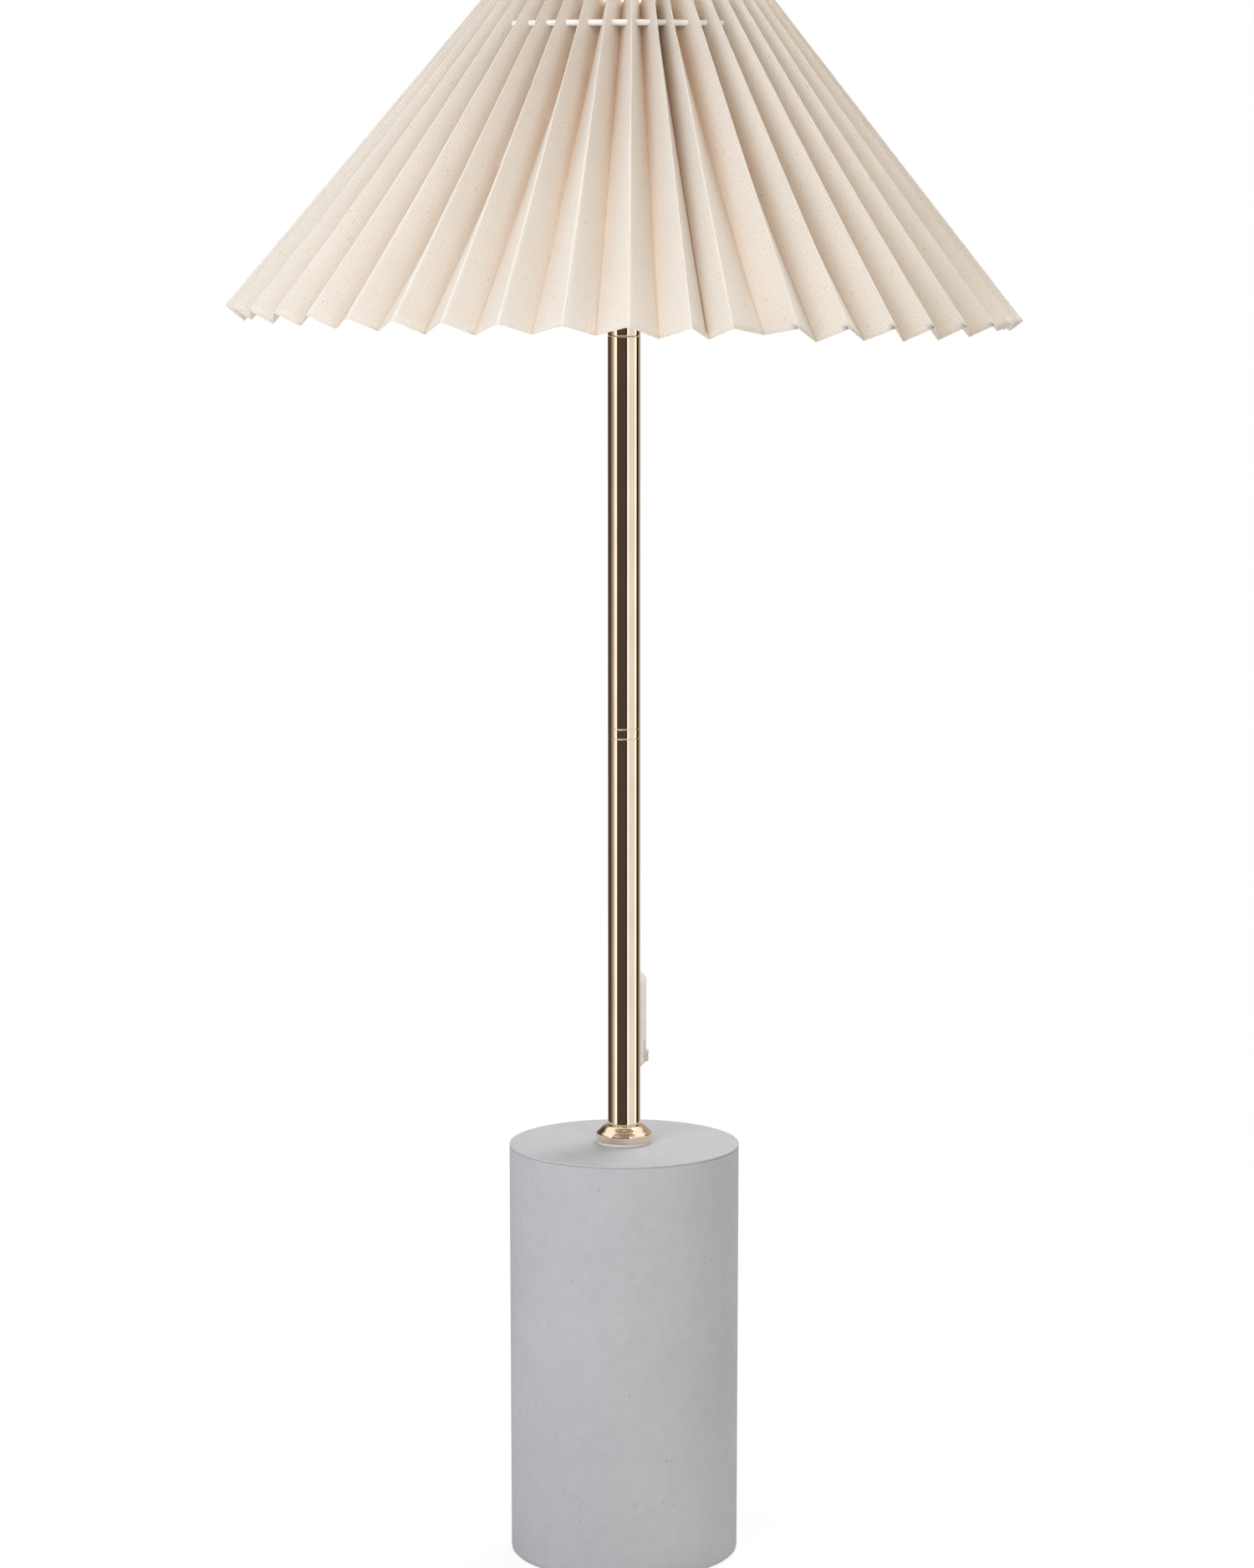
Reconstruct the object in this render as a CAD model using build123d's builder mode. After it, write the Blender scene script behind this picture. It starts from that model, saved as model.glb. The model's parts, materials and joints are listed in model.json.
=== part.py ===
from build123d import *
import math
import os

os.makedirs("parts", exist_ok=True)

# Table lamp with a pleated linen shade on a gold tube stem and a cast concrete base.
# Sizes are in millimetres, +Z is up and the origin is under the stem, where the lamp stands.
# The front of the lamp faces -Y. The switch is on the back of the stem.

# Clearances between pieces
thread_gap = 0.05
slip_gap = 0.1
seat_gap = 0.3

# Concrete base block, hollow from below
base_top = 209.0
base_top_radius = 57.2
base_foot_radius = 56.7
base_foot_edge = 4.0
base_top_edge = 0.5
base_wall = 18.0
base_roof = 24.0

# Foam pad, cover plate, its inserts and screws under the base
pad_proud = 0.5
pad_thickness = 2.0
pad_radius = 50.0
cover_thickness = 3.0
cover_lap = 7.3
cover_screw_count = 3
cover_screw_turn = 30.0
cover_screw_radius = 1.5
cover_screw_head_radius = 2.75
cover_screw_head_depth = 1.6
cover_screw_length = 9.0
cover_screw_slot = 3.3
cover_screw_slot_width = 0.75
insert_radius = 2.5
insert_length = 8.0
insert_groove = 0.35

# Rubber grommet where the cord enters, low in the back of the base
inlet_height = 24.0
inlet_bore = 3.3
grommet_neck_radius = 5.0
grommet_lip_radius = 6.8
grommet_lip = 1.6

# Terminal block on the cover plate
terminal_width = 20.0
terminal_depth = 14.0
terminal_height = 13.0
terminal_pitch = 8.0
terminal_entry = 6.0
terminal_screw_radius = 1.6
terminal_edge = 0.8

# Hollow threaded tube that holds stem and base together, and its nut and washers
thread_radius = 5.0
thread_bore = 3.5
rod_hole_gap = 0.4
washer_radius = 16.0
washer_thickness = 2.0
lock_washer_radius = 8.2
lock_washer_thickness = 1.8
lock_washer_slit = 1.2
lock_washer_slit_turn = 20.0
nut_across_flats = 14.0
nut_thickness = 5.0
nut_edge = 0.3
rod_tail = 4.0
thread_grip = 16.0

# Flange on the base, with its clear gasket
gasket_radius = 13.6
gasket_thickness = 1.5
flange_radius = 13.8
flange_height = 7.9
flange_rim = 3.9
flange_rim_edge = 0.5
flange_dome_rise = 0.9

# Stem of two tubes, with a ring between them and one above them
tube_radius = 8.0
tube_wall = 1.2
lower_tube_length = 194.3
upper_tube_length = 193.1
ring_length = 4.8
ring_edge = 0.25
bush_length = 15.0
bush_inset = 0.6
nipple_reach = 13.0

# Switch on the back of the lower tube
switch_turn = 11.0
switch_above_flange = 25.9
switch_height = 48.9
switch_width = 16.0
switch_corner = 5.0
switch_front = 4.5
switch_split = 15.5
switch_back = 20.0
switch_back_edge = 3.0
switch_wall = 1.5
switch_inner_corner = 2.0
switch_screw_radius = 1.5
switch_screw_head_radius = 2.6
switch_screw_head = 1.4
switch_screw_reach = 2.6
switch_screw_margin = 12.5
switch_post_radius = 2.3
switch_post_margin = 6.0
lid_screw_radius = 1.0
lid_screw_head_radius = 1.9
lid_screw_head = 1.2
lid_screw_length = 8.0

# Sliding button in the switch's right side
button_above_switch_foot = 6.8
button_length = 5.7
button_width = 4.0
button_centre = 12.5
button_proud = 1.8
button_travel = 5.0
button_plate = 1.3
button_plate_lap = 0.6
button_plate_side = 0.5
button_rib_pitch = 1.4
button_rib_depth = 0.5
button_rib_count = 4
button_edge = 0.4

# Contact strips and the bridge that the button carries
contact_thickness = 0.5
contact_width = 3.0
contact_side = 0.5
contact_gap = 2.0
contact_pad = 6.0
contact_riser = 12.0
contact_above_switch_foot = 4.2
bridge_thickness = 0.6
bridge_length = 5.7

# Insulated leads
lead_radius = 0.9
lead_bend = 6.0
lead_offset = 2.0
lead_setback = 1.4
neutral_offset = 2.4
lead_hole_radius = 3.4
lead_hole_above_switch_foot = 22.2
lead_straight = 30.0
lead_sharp_turn = 60.0
lead_roomy_share = 0.45

# Lampholder
cap_radius = 20.5
cap_wall = 1.3
cap_rise = 13.5
cap_skirt = 7.0
cap_boss_radius = 8.0
cap_boss_height = 7.0
shell_radius = 20.0
shell_wall = 1.5
shell_length = 37.0
shell_skirt = 6.0
shell_ledge = 1.5
shoulder_height = 15.0
shoulder_radius = 25.0
shoulder_thickness = 1.6
insulator_thickness = 8.0
insulator_hub_radius = 9.0
insulator_hub = 2.0
socket_screw_radius = 1.5
terminal_head_radius = 2.4
terminal_head = 1.5
socket_screw_spacing = 13.5

# Edison thread of the lampholder and the bulb
thread_crest = 13.1
thread_root = 12.1
thread_pitch = 3.63
cap_turns = 5
socket_turns = 5
socket_lead_turns = 2
socket_wall = 0.4
socket_gap = 0.25
contact_spring_width = 6.0
contact_spring_rise = 3.0

# Bulb
bulb_length = 105.0
bulb_radius = 30.0
bulb_neck_radius = 12.6
bulb_glass_wall = 0.8
bulb_neck_pull = 1.0
bulb_crown_pull = 1.4
bulb_tip_radius = 4.5
bulb_tip_height = 2.0
bulb_insulator_height = 3.5
bulb_cap_wall = 0.5
bulb_stem_radius = 4.0
bulb_stem_length = 24.0
filament_count = 4
filament_radius = 0.9
filament_length = 34.0
filament_spread = 7.0

# Ring that holds the shade down on the lampholder
nut_ring_height = 9.0
nut_ring_wall = 2.2
nut_ring_flange_radius = 26.5
nut_ring_flange = 2.0
nut_ring_notch_count = 24
nut_ring_notch = 0.7

# Shade carrier: fitter ring, dropped arms and the white wire ring
fitter_radius = 33.0
fitter_thickness = 1.6
arm_radius = 1.3
arm_count = 3
first_arm_angle = -86.5
arm_foot_radius = 30.0
arm_elbow_radius = 38.0
arm_bend = 9.0
weld = 0.4
wire_radius = 1.5
carrier_rise = 105.5

# Linen shade, a cone whose outer face lies over the ridge folds of its pleats
shade_slope = 39.3
shade_above_ring = 19.4
shade_top_radius = 66.0
shade_slant = 202.6
shade_wall = 5.85
shade_part_count = 14


# Places that follow from the sizes above
base_bottom = pad_proud
cavity_radius = base_foot_radius - base_wall
cavity_top = base_top - base_roof
cover_low = pad_thickness
cover_top = cover_low + cover_thickness
cover_radius = cavity_radius + cover_lap
cover_screw_circle = cavity_radius + cover_lap / 2
washer_low = cavity_top - washer_thickness
lock_washer_low = washer_low - lock_washer_thickness
nut_low = lock_washer_low - nut_thickness
rod_low = nut_low - rod_tail
flange_low = base_top + gasket_thickness
lower_tube_low = flange_low + flange_height
lower_tube_high = lower_tube_low + lower_tube_length
joint_ring_high = lower_tube_high + ring_length
upper_tube_high = joint_ring_high + upper_tube_length
neck_ring_high = upper_tube_high + ring_length
rod_high = lower_tube_low + bush_inset + thread_grip
switch_low = lower_tube_low + switch_above_flange
button_height = switch_low + button_above_switch_foot
contact_foot = switch_low + contact_above_switch_foot
lead_hole_height = switch_low + lead_hole_above_switch_foot
tube_bore = tube_radius - tube_wall


def sleeve(outer, bore, low, high):
    """A plain round sleeve on the stem's axis, from one height to another."""
    with BuildPart() as piece:
        with BuildSketch(Plane.XY.offset(low)):
            Circle(outer)
            Circle(bore, mode=Mode.SUBTRACT)
        extrude(amount=high - low)
    return piece


def radial_plane(turn):
    """Upright plane through the stem's axis: its x is the radius at that turn, its y is the height."""
    angle = math.radians(turn)
    return Plane(
        origin=(0, 0, 0),
        x_dir=(math.cos(angle), math.sin(angle), 0),
        z_dir=(math.sin(angle), -math.cos(angle), 0),
    )


# Concrete base block: outside, pad recess, cover rebate, cavity, bore for the threaded tube and inlet
grommet_seat = base_foot_radius - grommet_lip + seat_gap
grommet_inside = math.sqrt(cavity_radius**2 - grommet_lip_radius**2)

with BuildPart() as base_block:
    with BuildSketch(Plane.XZ):
        with BuildLine():
            Polyline(
                (0, base_bottom),
                (base_foot_radius, base_bottom),
                (base_top_radius, base_top),
                (0, base_top),
                close=True,
            )
        make_face()
    revolve(axis=Axis.Z)
    rims = base_block.edges().filter_by(GeomType.CIRCLE).sort_by(Axis.Z)
    fillet(rims[0], base_foot_edge)
    rims = base_block.edges().filter_by(GeomType.CIRCLE).sort_by(Axis.Z)
    fillet(rims[-1], base_top_edge)
    with BuildSketch(Plane.XY.offset(base_bottom)):
        Circle(pad_radius + seat_gap)
    extrude(amount=pad_thickness - pad_proud, mode=Mode.SUBTRACT)
    with BuildSketch(Plane.XY.offset(cover_low)):
        Circle(cover_radius + seat_gap)
    extrude(amount=cover_thickness, mode=Mode.SUBTRACT)
    with BuildSketch(Plane.XY.offset(cover_top)):
        Circle(cavity_radius)
    extrude(amount=cavity_top - cover_top, mode=Mode.SUBTRACT)
    with BuildSketch(Plane.XY.offset(cavity_top)):
        Circle(thread_radius + rod_hole_gap)
    extrude(amount=base_roof, mode=Mode.SUBTRACT)
    with BuildSketch(Plane.XY.offset(cover_top)):
        with PolarLocations(cover_screw_circle, cover_screw_count, start_angle=cover_screw_turn):
            Circle(insert_radius)
    extrude(amount=insert_length, mode=Mode.SUBTRACT)
    with BuildSketch(Plane.XZ.offset(-cavity_radius + grommet_lip_radius)):
        with Locations((0, inlet_height)):
            Circle(grommet_neck_radius)
    extrude(amount=-base_wall - grommet_lip_radius, mode=Mode.SUBTRACT)
    with BuildSketch(Plane.XZ.offset(-grommet_seat)):
        with Locations((0, inlet_height)):
            Circle(grommet_lip_radius + seat_gap)
    extrude(amount=-base_wall, mode=Mode.SUBTRACT)
base_block.part.label = "base_block"
export_step(base_block.part, "parts/base_block.step")

# Foam pad that the lamp stands on
with BuildPart() as base_pad:
    with BuildSketch():
        Circle(pad_radius)
    extrude(amount=pad_thickness)
    fillet(base_pad.edges().sort_by(Axis.Z)[0], pad_proud)
base_pad.part.label = "base_pad"
export_step(base_pad.part, "parts/base_pad.step")

# Cover plate over the cavity, with countersunk screw holes
with BuildPart() as base_cover:
    with BuildSketch(Plane.XY.offset(cover_low)):
        Circle(cover_radius)
        with PolarLocations(cover_screw_circle, cover_screw_count, start_angle=cover_screw_turn):
            Circle(cover_screw_radius + slip_gap, mode=Mode.SUBTRACT)
    extrude(amount=cover_thickness)
    with BuildSketch(Plane.XY.offset(cover_low)):
        with PolarLocations(cover_screw_circle, cover_screw_count, start_angle=cover_screw_turn):
            Circle(cover_screw_head_radius + slip_gap)
    extrude(amount=cover_screw_head_depth, mode=Mode.SUBTRACT)
base_cover.part.label = "base_cover"
export_step(base_cover.part, "parts/base_cover.step")

# Cover screws: flat heads flush with the plate, a cross slot in each
with BuildPart() as cover_screws:
    with BuildSketch(Plane.XY.offset(cover_low)):
        with PolarLocations(cover_screw_circle, cover_screw_count, start_angle=cover_screw_turn):
            Circle(cover_screw_head_radius)
    extrude(amount=cover_screw_head_depth)
    with BuildSketch(Plane.XY.offset(cover_low + cover_screw_head_depth)):
        with PolarLocations(cover_screw_circle, cover_screw_count, start_angle=cover_screw_turn):
            Circle(cover_screw_radius)
    extrude(amount=cover_screw_length - cover_screw_head_depth)
    with BuildSketch(Plane.XY.offset(cover_low)):
        with PolarLocations(cover_screw_circle, cover_screw_count, start_angle=cover_screw_turn):
            Rectangle(cover_screw_slot, cover_screw_slot_width)
            Rectangle(cover_screw_slot_width, cover_screw_slot)
    extrude(amount=cover_screw_head_depth / 2, mode=Mode.SUBTRACT)
cover_screws.part.label = "cover_screws"
export_step(cover_screws.part, "parts/cover_screws.step")

# Brass inserts cast into the concrete, each with a groove round its middle
insert_middle = cover_top + insert_length / 2

with BuildPart() as cover_inserts:
    with BuildSketch(Plane.XY.offset(cover_top)):
        with PolarLocations(cover_screw_circle, cover_screw_count, start_angle=cover_screw_turn):
            Circle(insert_radius)
            Circle(cover_screw_radius + thread_gap, mode=Mode.SUBTRACT)
    extrude(amount=insert_length)
    with BuildSketch(Plane.XY.offset(insert_middle - insert_groove)):
        with PolarLocations(cover_screw_circle, cover_screw_count, start_angle=cover_screw_turn):
            Circle(insert_radius + insert_groove)
            Circle(insert_radius - insert_groove, mode=Mode.SUBTRACT)
    extrude(amount=2 * insert_groove, mode=Mode.SUBTRACT)
cover_inserts.part.label = "cover_inserts"
export_step(cover_inserts.part, "parts/cover_inserts.step")

# Rubber grommet: a lip outside, a neck through the wall and a lip inside
grommet_outside = grommet_seat + grommet_lip
grommet_tail = grommet_inside - grommet_lip

with BuildPart() as cord_grommet:
    with BuildSketch(Plane.XZ.offset(-grommet_tail)):
        with Locations((0, inlet_height)):
            Circle(grommet_lip_radius)
    extrude(amount=-grommet_lip)
    with BuildSketch(Plane.XZ.offset(-grommet_tail)):
        with Locations((0, inlet_height)):
            Circle(grommet_neck_radius)
    extrude(amount=-(grommet_seat - grommet_tail))
    with BuildSketch(Plane.XZ.offset(-grommet_seat)):
        with Locations((0, inlet_height)):
            Circle(grommet_lip_radius)
    extrude(amount=-grommet_lip)
    outer_rim = cord_grommet.edges().filter_by(GeomType.CIRCLE).sort_by(Axis.Y)[-1]
    fillet(outer_rim, grommet_lip / 2)
    with BuildSketch(Plane.XZ.offset(-grommet_tail)):
        with Locations((0, inlet_height)):
            Circle(inlet_bore)
    extrude(amount=-(grommet_outside - grommet_tail), mode=Mode.SUBTRACT)
cord_grommet.part.label = "cord_grommet"
export_step(cord_grommet.part, "parts/cord_grommet.step")

# Terminal block standing on the cover plate, its screws reached from the front
terminal_top = cover_top + terminal_height
terminal_entry_floor = terminal_top - terminal_entry
terminal_screw_height = terminal_top - terminal_entry / 2

with BuildPart() as terminal_block:
    with BuildSketch(Plane.XY.offset(cover_top)):
        RectangleRounded(terminal_width, terminal_depth, terminal_edge)
    extrude(amount=terminal_height)
    with BuildSketch(Plane.XY.offset(terminal_entry_floor)):
        with GridLocations(terminal_pitch, 0, 2, 1):
            Circle(lead_radius + slip_gap)
    extrude(amount=terminal_entry, mode=Mode.SUBTRACT)
    with BuildSketch(Plane.XZ.offset(terminal_depth / 2)):
        with Locations((0, terminal_screw_height)):
            with GridLocations(terminal_pitch, 0, 2, 1):
                Circle(terminal_screw_radius)
    extrude(amount=-terminal_depth / 2 + lead_radius, mode=Mode.SUBTRACT)
terminal_block.part.label = "terminal_block"
export_step(terminal_block.part, "parts/terminal_block.step")

with BuildPart() as terminal_screws:
    with BuildSketch(Plane.XZ.offset(terminal_depth / 2 - terminal_edge)):
        with Locations((0, terminal_screw_height)):
            with GridLocations(terminal_pitch, 0, 2, 1):
                Circle(terminal_screw_radius - thread_gap)
    extrude(amount=-terminal_depth / 2 + terminal_edge + lead_radius)
    with BuildSketch(Plane.XZ.offset(terminal_depth / 2 - terminal_edge)):
        with Locations((0, terminal_screw_height)):
            with GridLocations(terminal_pitch, 0, 2, 1):
                Rectangle(terminal_screw_radius * 2, terminal_screw_radius / 3)
    extrude(amount=-terminal_screw_radius / 2, mode=Mode.SUBTRACT)
terminal_screws.part.label = "terminal_screws"
export_step(terminal_screws.part, "parts/terminal_screws.step")

# Hollow threaded tube up the middle of the base, its nut and its washers
threaded_rod = sleeve(thread_radius, thread_bore, rod_low, rod_high)
threaded_rod.part.label = "threaded_rod"
export_step(threaded_rod.part, "parts/threaded_rod.step")

plate_washer = sleeve(washer_radius, thread_radius + rod_hole_gap, washer_low, cavity_top)
plate_washer.part.label = "plate_washer"
export_step(plate_washer.part, "parts/plate_washer.step")

with BuildPart() as lock_washer:
    with BuildSketch(Plane.XY.offset(lock_washer_low)):
        Circle(lock_washer_radius)
        Circle(thread_radius + rod_hole_gap / 2, mode=Mode.SUBTRACT)
        with Locations(Location((lock_washer_radius, 0), lock_washer_slit_turn)):
            Rectangle(lock_washer_radius, lock_washer_slit, mode=Mode.SUBTRACT)
    extrude(amount=lock_washer_thickness)
lock_washer.part.label = "lock_washer"
export_step(lock_washer.part, "parts/lock_washer.step")

with BuildPart() as rod_nut:
    with BuildSketch(Plane.XY.offset(nut_low)):
        RegularPolygon(nut_across_flats / 2, 6, major_radius=False)
        Circle(thread_radius + thread_gap, mode=Mode.SUBTRACT)
    extrude(amount=nut_thickness)
    chamfer(rod_nut.edges().filter_by(GeomType.CIRCLE), nut_edge)
rod_nut.part.label = "rod_nut"
export_step(rod_nut.part, "parts/rod_nut.step")

# Clear gasket and the domed flange on it
flange_gasket = sleeve(gasket_radius, thread_radius + rod_hole_gap, base_top, flange_low)
flange_gasket.part.label = "flange_gasket"
export_step(flange_gasket.part, "parts/flange_gasket.step")

with BuildPart() as base_flange:
    with BuildSketch(Plane.XZ):
        with BuildLine():
            Polyline(
                (tube_radius, lower_tube_low),
                (thread_radius + rod_hole_gap, lower_tube_low),
                (thread_radius + rod_hole_gap, flange_low),
                (flange_radius, flange_low),
                (flange_radius, flange_low + flange_rim - flange_rim_edge),
                (flange_radius - flange_rim_edge, flange_low + flange_rim),
            )
            SagittaArc(
                (flange_radius - flange_rim_edge, flange_low + flange_rim),
                (tube_radius, lower_tube_low),
                -flange_dome_rise,
            )
        make_face()
    revolve(axis=Axis.Z)
base_flange.part.label = "base_flange"
export_step(base_flange.part, "parts/base_flange.step")

# Rings between and above the tubes, of the tubes' own outer size
for name, low in (("joint_ring", lower_tube_high), ("neck_ring", upper_tube_high)):
    with BuildPart() as ring:
        add(sleeve(tube_radius, thread_radius + thread_gap, low, low + ring_length).part)
        rims = ring.edges().filter_by(GeomType.CIRCLE).group_by(SortBy.RADIUS)[-1]
        chamfer(rims, ring_edge)
    ring.part.label = name
    export_step(ring.part, f"parts/{name}.step")

# Hollow nipples that join the tubes through the rings
for name, low, high in (
    ("joint_nipple", lower_tube_high - nipple_reach, joint_ring_high + nipple_reach),
    ("neck_nipple", upper_tube_high - nipple_reach, neck_ring_high + cap_boss_height),
):
    nipple = sleeve(thread_radius, thread_bore, low, high)
    nipple.part.label = name
    export_step(nipple.part, f"parts/{name}.step")

# Threaded bushes soldered into the tube ends
for name, low in (
    ("lower_tube_foot_bush", lower_tube_low + bush_inset),
    ("lower_tube_head_bush", lower_tube_high - bush_inset - bush_length),
    ("upper_tube_foot_bush", joint_ring_high + bush_inset),
    ("upper_tube_head_bush", upper_tube_high - bush_inset - bush_length),
):
    bush = sleeve(tube_bore - thread_gap, thread_radius + thread_gap, low, low + bush_length)
    bush.part.label = name
    export_step(bush.part, f"parts/{name}.step")

# Switch housing: planes that lie across it and behind it, turned a little to the right
switch_angle = math.radians(switch_turn)
switch_right = Vector(math.cos(switch_angle), -math.sin(switch_angle), 0)
switch_out = Vector(math.sin(switch_angle), math.cos(switch_angle), 0)
switch_middle = switch_low + switch_height / 2
switch_floor = tube_radius + thread_gap + switch_wall
switch_side = switch_width / 2 - switch_wall
upper_screw_height = switch_low + switch_height - switch_screw_margin
post_height = switch_low + switch_height - switch_post_margin


def switch_plane(out):
    """Upright plane that far behind the stem's axis, facing the stem: x to the lamp's right, y up."""
    return Plane(
        origin=(switch_out.X * out, switch_out.Y * out, 0),
        x_dir=switch_right,
        z_dir=switch_out * -1,
    )


def switch_point(right, out, height):
    """A point given by its place to the right of and behind the stem's axis, in the switch's frame."""
    return tuple(switch_right * right + switch_out * out + Vector(0, 0, height))


# Lower tube, with the lead hole and the screw hole behind it
with BuildPart() as lower_tube:
    with BuildSketch(Plane.XY.offset(lower_tube_low)):
        Circle(tube_radius)
        Circle(tube_bore, mode=Mode.SUBTRACT)
    extrude(amount=lower_tube_length)
    with BuildSketch(switch_plane(switch_floor)):
        with Locations((0, lead_hole_height)):
            Circle(lead_hole_radius)
        with Locations((0, upper_screw_height)):
            Circle(switch_screw_radius + thread_gap)
    extrude(amount=switch_floor, mode=Mode.SUBTRACT)
lower_tube.part.label = "lower_tube"
export_step(lower_tube.part, "parts/lower_tube.step")

upper_tube = sleeve(tube_radius, tube_bore, joint_ring_high, upper_tube_high)
upper_tube.part.label = "upper_tube"
export_step(upper_tube.part, "parts/upper_tube.step")

# Housing: a rounded box hugging the tube, open behind, with a slot for the button in its right side
slot_low = button_height - button_length / 2 - slip_gap
slot_length = button_length + button_travel + 2 * slip_gap

with BuildPart() as switch_housing:
    with BuildSketch(switch_plane(switch_front)):
        with Locations((0, switch_middle)):
            RectangleRounded(switch_width, switch_height, switch_corner)
    extrude(amount=-(switch_split - switch_front))
    with BuildSketch(switch_plane(switch_floor)):
        with Locations((0, switch_middle)):
            RectangleRounded(
                switch_width - 2 * switch_wall,
                switch_height - 2 * switch_wall,
                switch_inner_corner,
            )
    extrude(amount=-(switch_split - switch_floor), mode=Mode.SUBTRACT)
    with BuildSketch(switch_plane(switch_floor)):
        with Locations((0, post_height)):
            Circle(switch_post_radius)
    extrude(amount=-(switch_split - switch_floor))
    with BuildSketch(switch_plane(switch_split)):
        with Locations((0, post_height)):
            Circle(lid_screw_radius + thread_gap)
    extrude(amount=lid_screw_length - (switch_back - lid_screw_head - switch_split), mode=Mode.SUBTRACT)
    with BuildSketch(Plane.XY.offset(switch_low)):
        Circle(tube_radius + thread_gap)
    extrude(amount=switch_height, mode=Mode.SUBTRACT)
    with BuildSketch(switch_plane(switch_floor)):
        with Locations((0, lead_hole_height)):
            Circle(lead_hole_radius)
        with Locations((0, upper_screw_height)):
            Circle(switch_screw_radius + thread_gap)
    extrude(amount=switch_floor - switch_front, mode=Mode.SUBTRACT)
    with BuildSketch(switch_plane(button_centre + button_width / 2 + slip_gap)):
        with Locations((switch_width / 2, slot_low + slot_length / 2)):
            Rectangle(2 * switch_wall + slip_gap, slot_length)
    extrude(amount=button_width + 2 * slip_gap, mode=Mode.SUBTRACT)
switch_housing.part.label = "switch_housing"
export_step(switch_housing.part, "parts/switch_housing.step")

# Back cover of the switch, a shallow tray with its screw hole and head recess
with BuildPart() as switch_cover:
    with BuildSketch(switch_plane(switch_split)):
        with Locations((0, switch_middle)):
            RectangleRounded(switch_width, switch_height, switch_corner)
    extrude(amount=-(switch_back - switch_split))
    back_rim = switch_cover.faces().sort_by(Axis(origin=(0, 0, 0), direction=switch_out))[-1].edges()
    fillet(back_rim, switch_back_edge)
    with BuildSketch(switch_plane(switch_split)):
        with Locations((0, switch_middle)):
            RectangleRounded(
                switch_width - 2 * switch_wall,
                switch_height - 2 * switch_wall,
                switch_inner_corner,
            )
    extrude(amount=-(switch_back - switch_split - switch_back_edge), mode=Mode.SUBTRACT)
    with BuildSketch(switch_plane(switch_split)):
        with Locations((0, post_height)):
            Circle(switch_post_radius)
    extrude(amount=-(switch_back - switch_split - lid_screw_head))
    with BuildSketch(switch_plane(switch_split)):
        with Locations((0, post_height)):
            Circle(lid_screw_radius + slip_gap)
    extrude(amount=-(switch_back - switch_split), mode=Mode.SUBTRACT)
    with BuildSketch(switch_plane(switch_back)):
        with Locations((0, post_height)):
            Circle(lid_screw_head_radius + slip_gap)
    extrude(amount=lid_screw_head, mode=Mode.SUBTRACT)
switch_cover.part.label = "switch_cover"
export_step(switch_cover.part, "parts/switch_cover.step")

with BuildPart() as switch_cover_screw:
    with BuildSketch(switch_plane(switch_back)):
        with Locations((0, post_height)):
            Circle(lid_screw_head_radius)
    extrude(amount=lid_screw_head)
    with BuildSketch(switch_plane(switch_back - lid_screw_head)):
        with Locations((0, post_height)):
            Circle(lid_screw_radius)
    extrude(amount=lid_screw_length)
    with BuildSketch(switch_plane(switch_back)):
        with Locations((0, post_height)):
            Rectangle(2 * lid_screw_radius, lid_screw_radius / 2)
            Rectangle(lid_screw_radius / 2, 2 * lid_screw_radius)
    extrude(amount=lid_screw_head / 2, mode=Mode.SUBTRACT)
switch_cover_screw.part.label = "switch_cover_screw"
export_step(switch_cover_screw.part, "parts/switch_cover_screw.step")

# Screw that holds the housing to the tube
with BuildPart() as housing_screw:
    with BuildSketch(switch_plane(switch_floor + switch_screw_head)):
        with Locations((0, upper_screw_height)):
            Circle(switch_screw_head_radius)
    extrude(amount=switch_screw_head)
    with BuildSketch(switch_plane(switch_floor)):
        with Locations((0, upper_screw_height)):
            Circle(switch_screw_radius)
    extrude(amount=switch_wall + switch_screw_reach)
housing_screw.part.label = "housing_screw"
export_step(housing_screw.part, "parts/housing_screw.step")

# Button: a ribbed knob through the slot, a plate behind the wall and an arm for the bridge
plate_out = switch_side - slip_gap
plate_in = plate_out - button_plate
bridge_floor = switch_floor + contact_thickness + slip_gap
plate_low = button_height - button_length / 2 - button_plate_lap
plate_high = button_height + button_length / 2 + button_travel
plate_near = bridge_floor
plate_far = switch_split - button_plate_side

with BuildPart() as switch_button:
    with BuildSketch(switch_plane(button_centre + button_width / 2)):
        with Locations(((plate_in + switch_width / 2 + button_proud) / 2, button_height)):
            Rectangle(switch_width / 2 + button_proud - plate_in, button_length)
    extrude(amount=button_width)
    knob_edges = switch_button.edges().group_by(Axis(origin=(0, 0, 0), direction=switch_right))[-1]
    fillet(knob_edges, button_edge)
    with BuildSketch(switch_plane(button_centre + button_width / 2)):
        with Locations((switch_width / 2 + button_proud, button_height)):
            with GridLocations(0, button_rib_pitch, 1, button_rib_count - 1):
                Rectangle(2 * button_rib_depth, button_rib_pitch / 2)
    extrude(amount=button_width, mode=Mode.SUBTRACT)
    with BuildSketch(switch_plane(plate_far)):
        with Locations(((plate_in + plate_out) / 2, (plate_low + plate_high) / 2)):
            Rectangle(button_plate, plate_high - plate_low)
    extrude(amount=plate_far - plate_near)
    with BuildSketch(switch_plane(bridge_floor + bridge_thickness + button_plate)):
        with Locations(((contact_side + plate_in) / 2, button_height)):
            Rectangle(plate_in - contact_side, bridge_length)
    extrude(amount=button_plate)
switch_button.part.label = "switch_button"
export_step(switch_button.part, "parts/switch_button.step")

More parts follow.
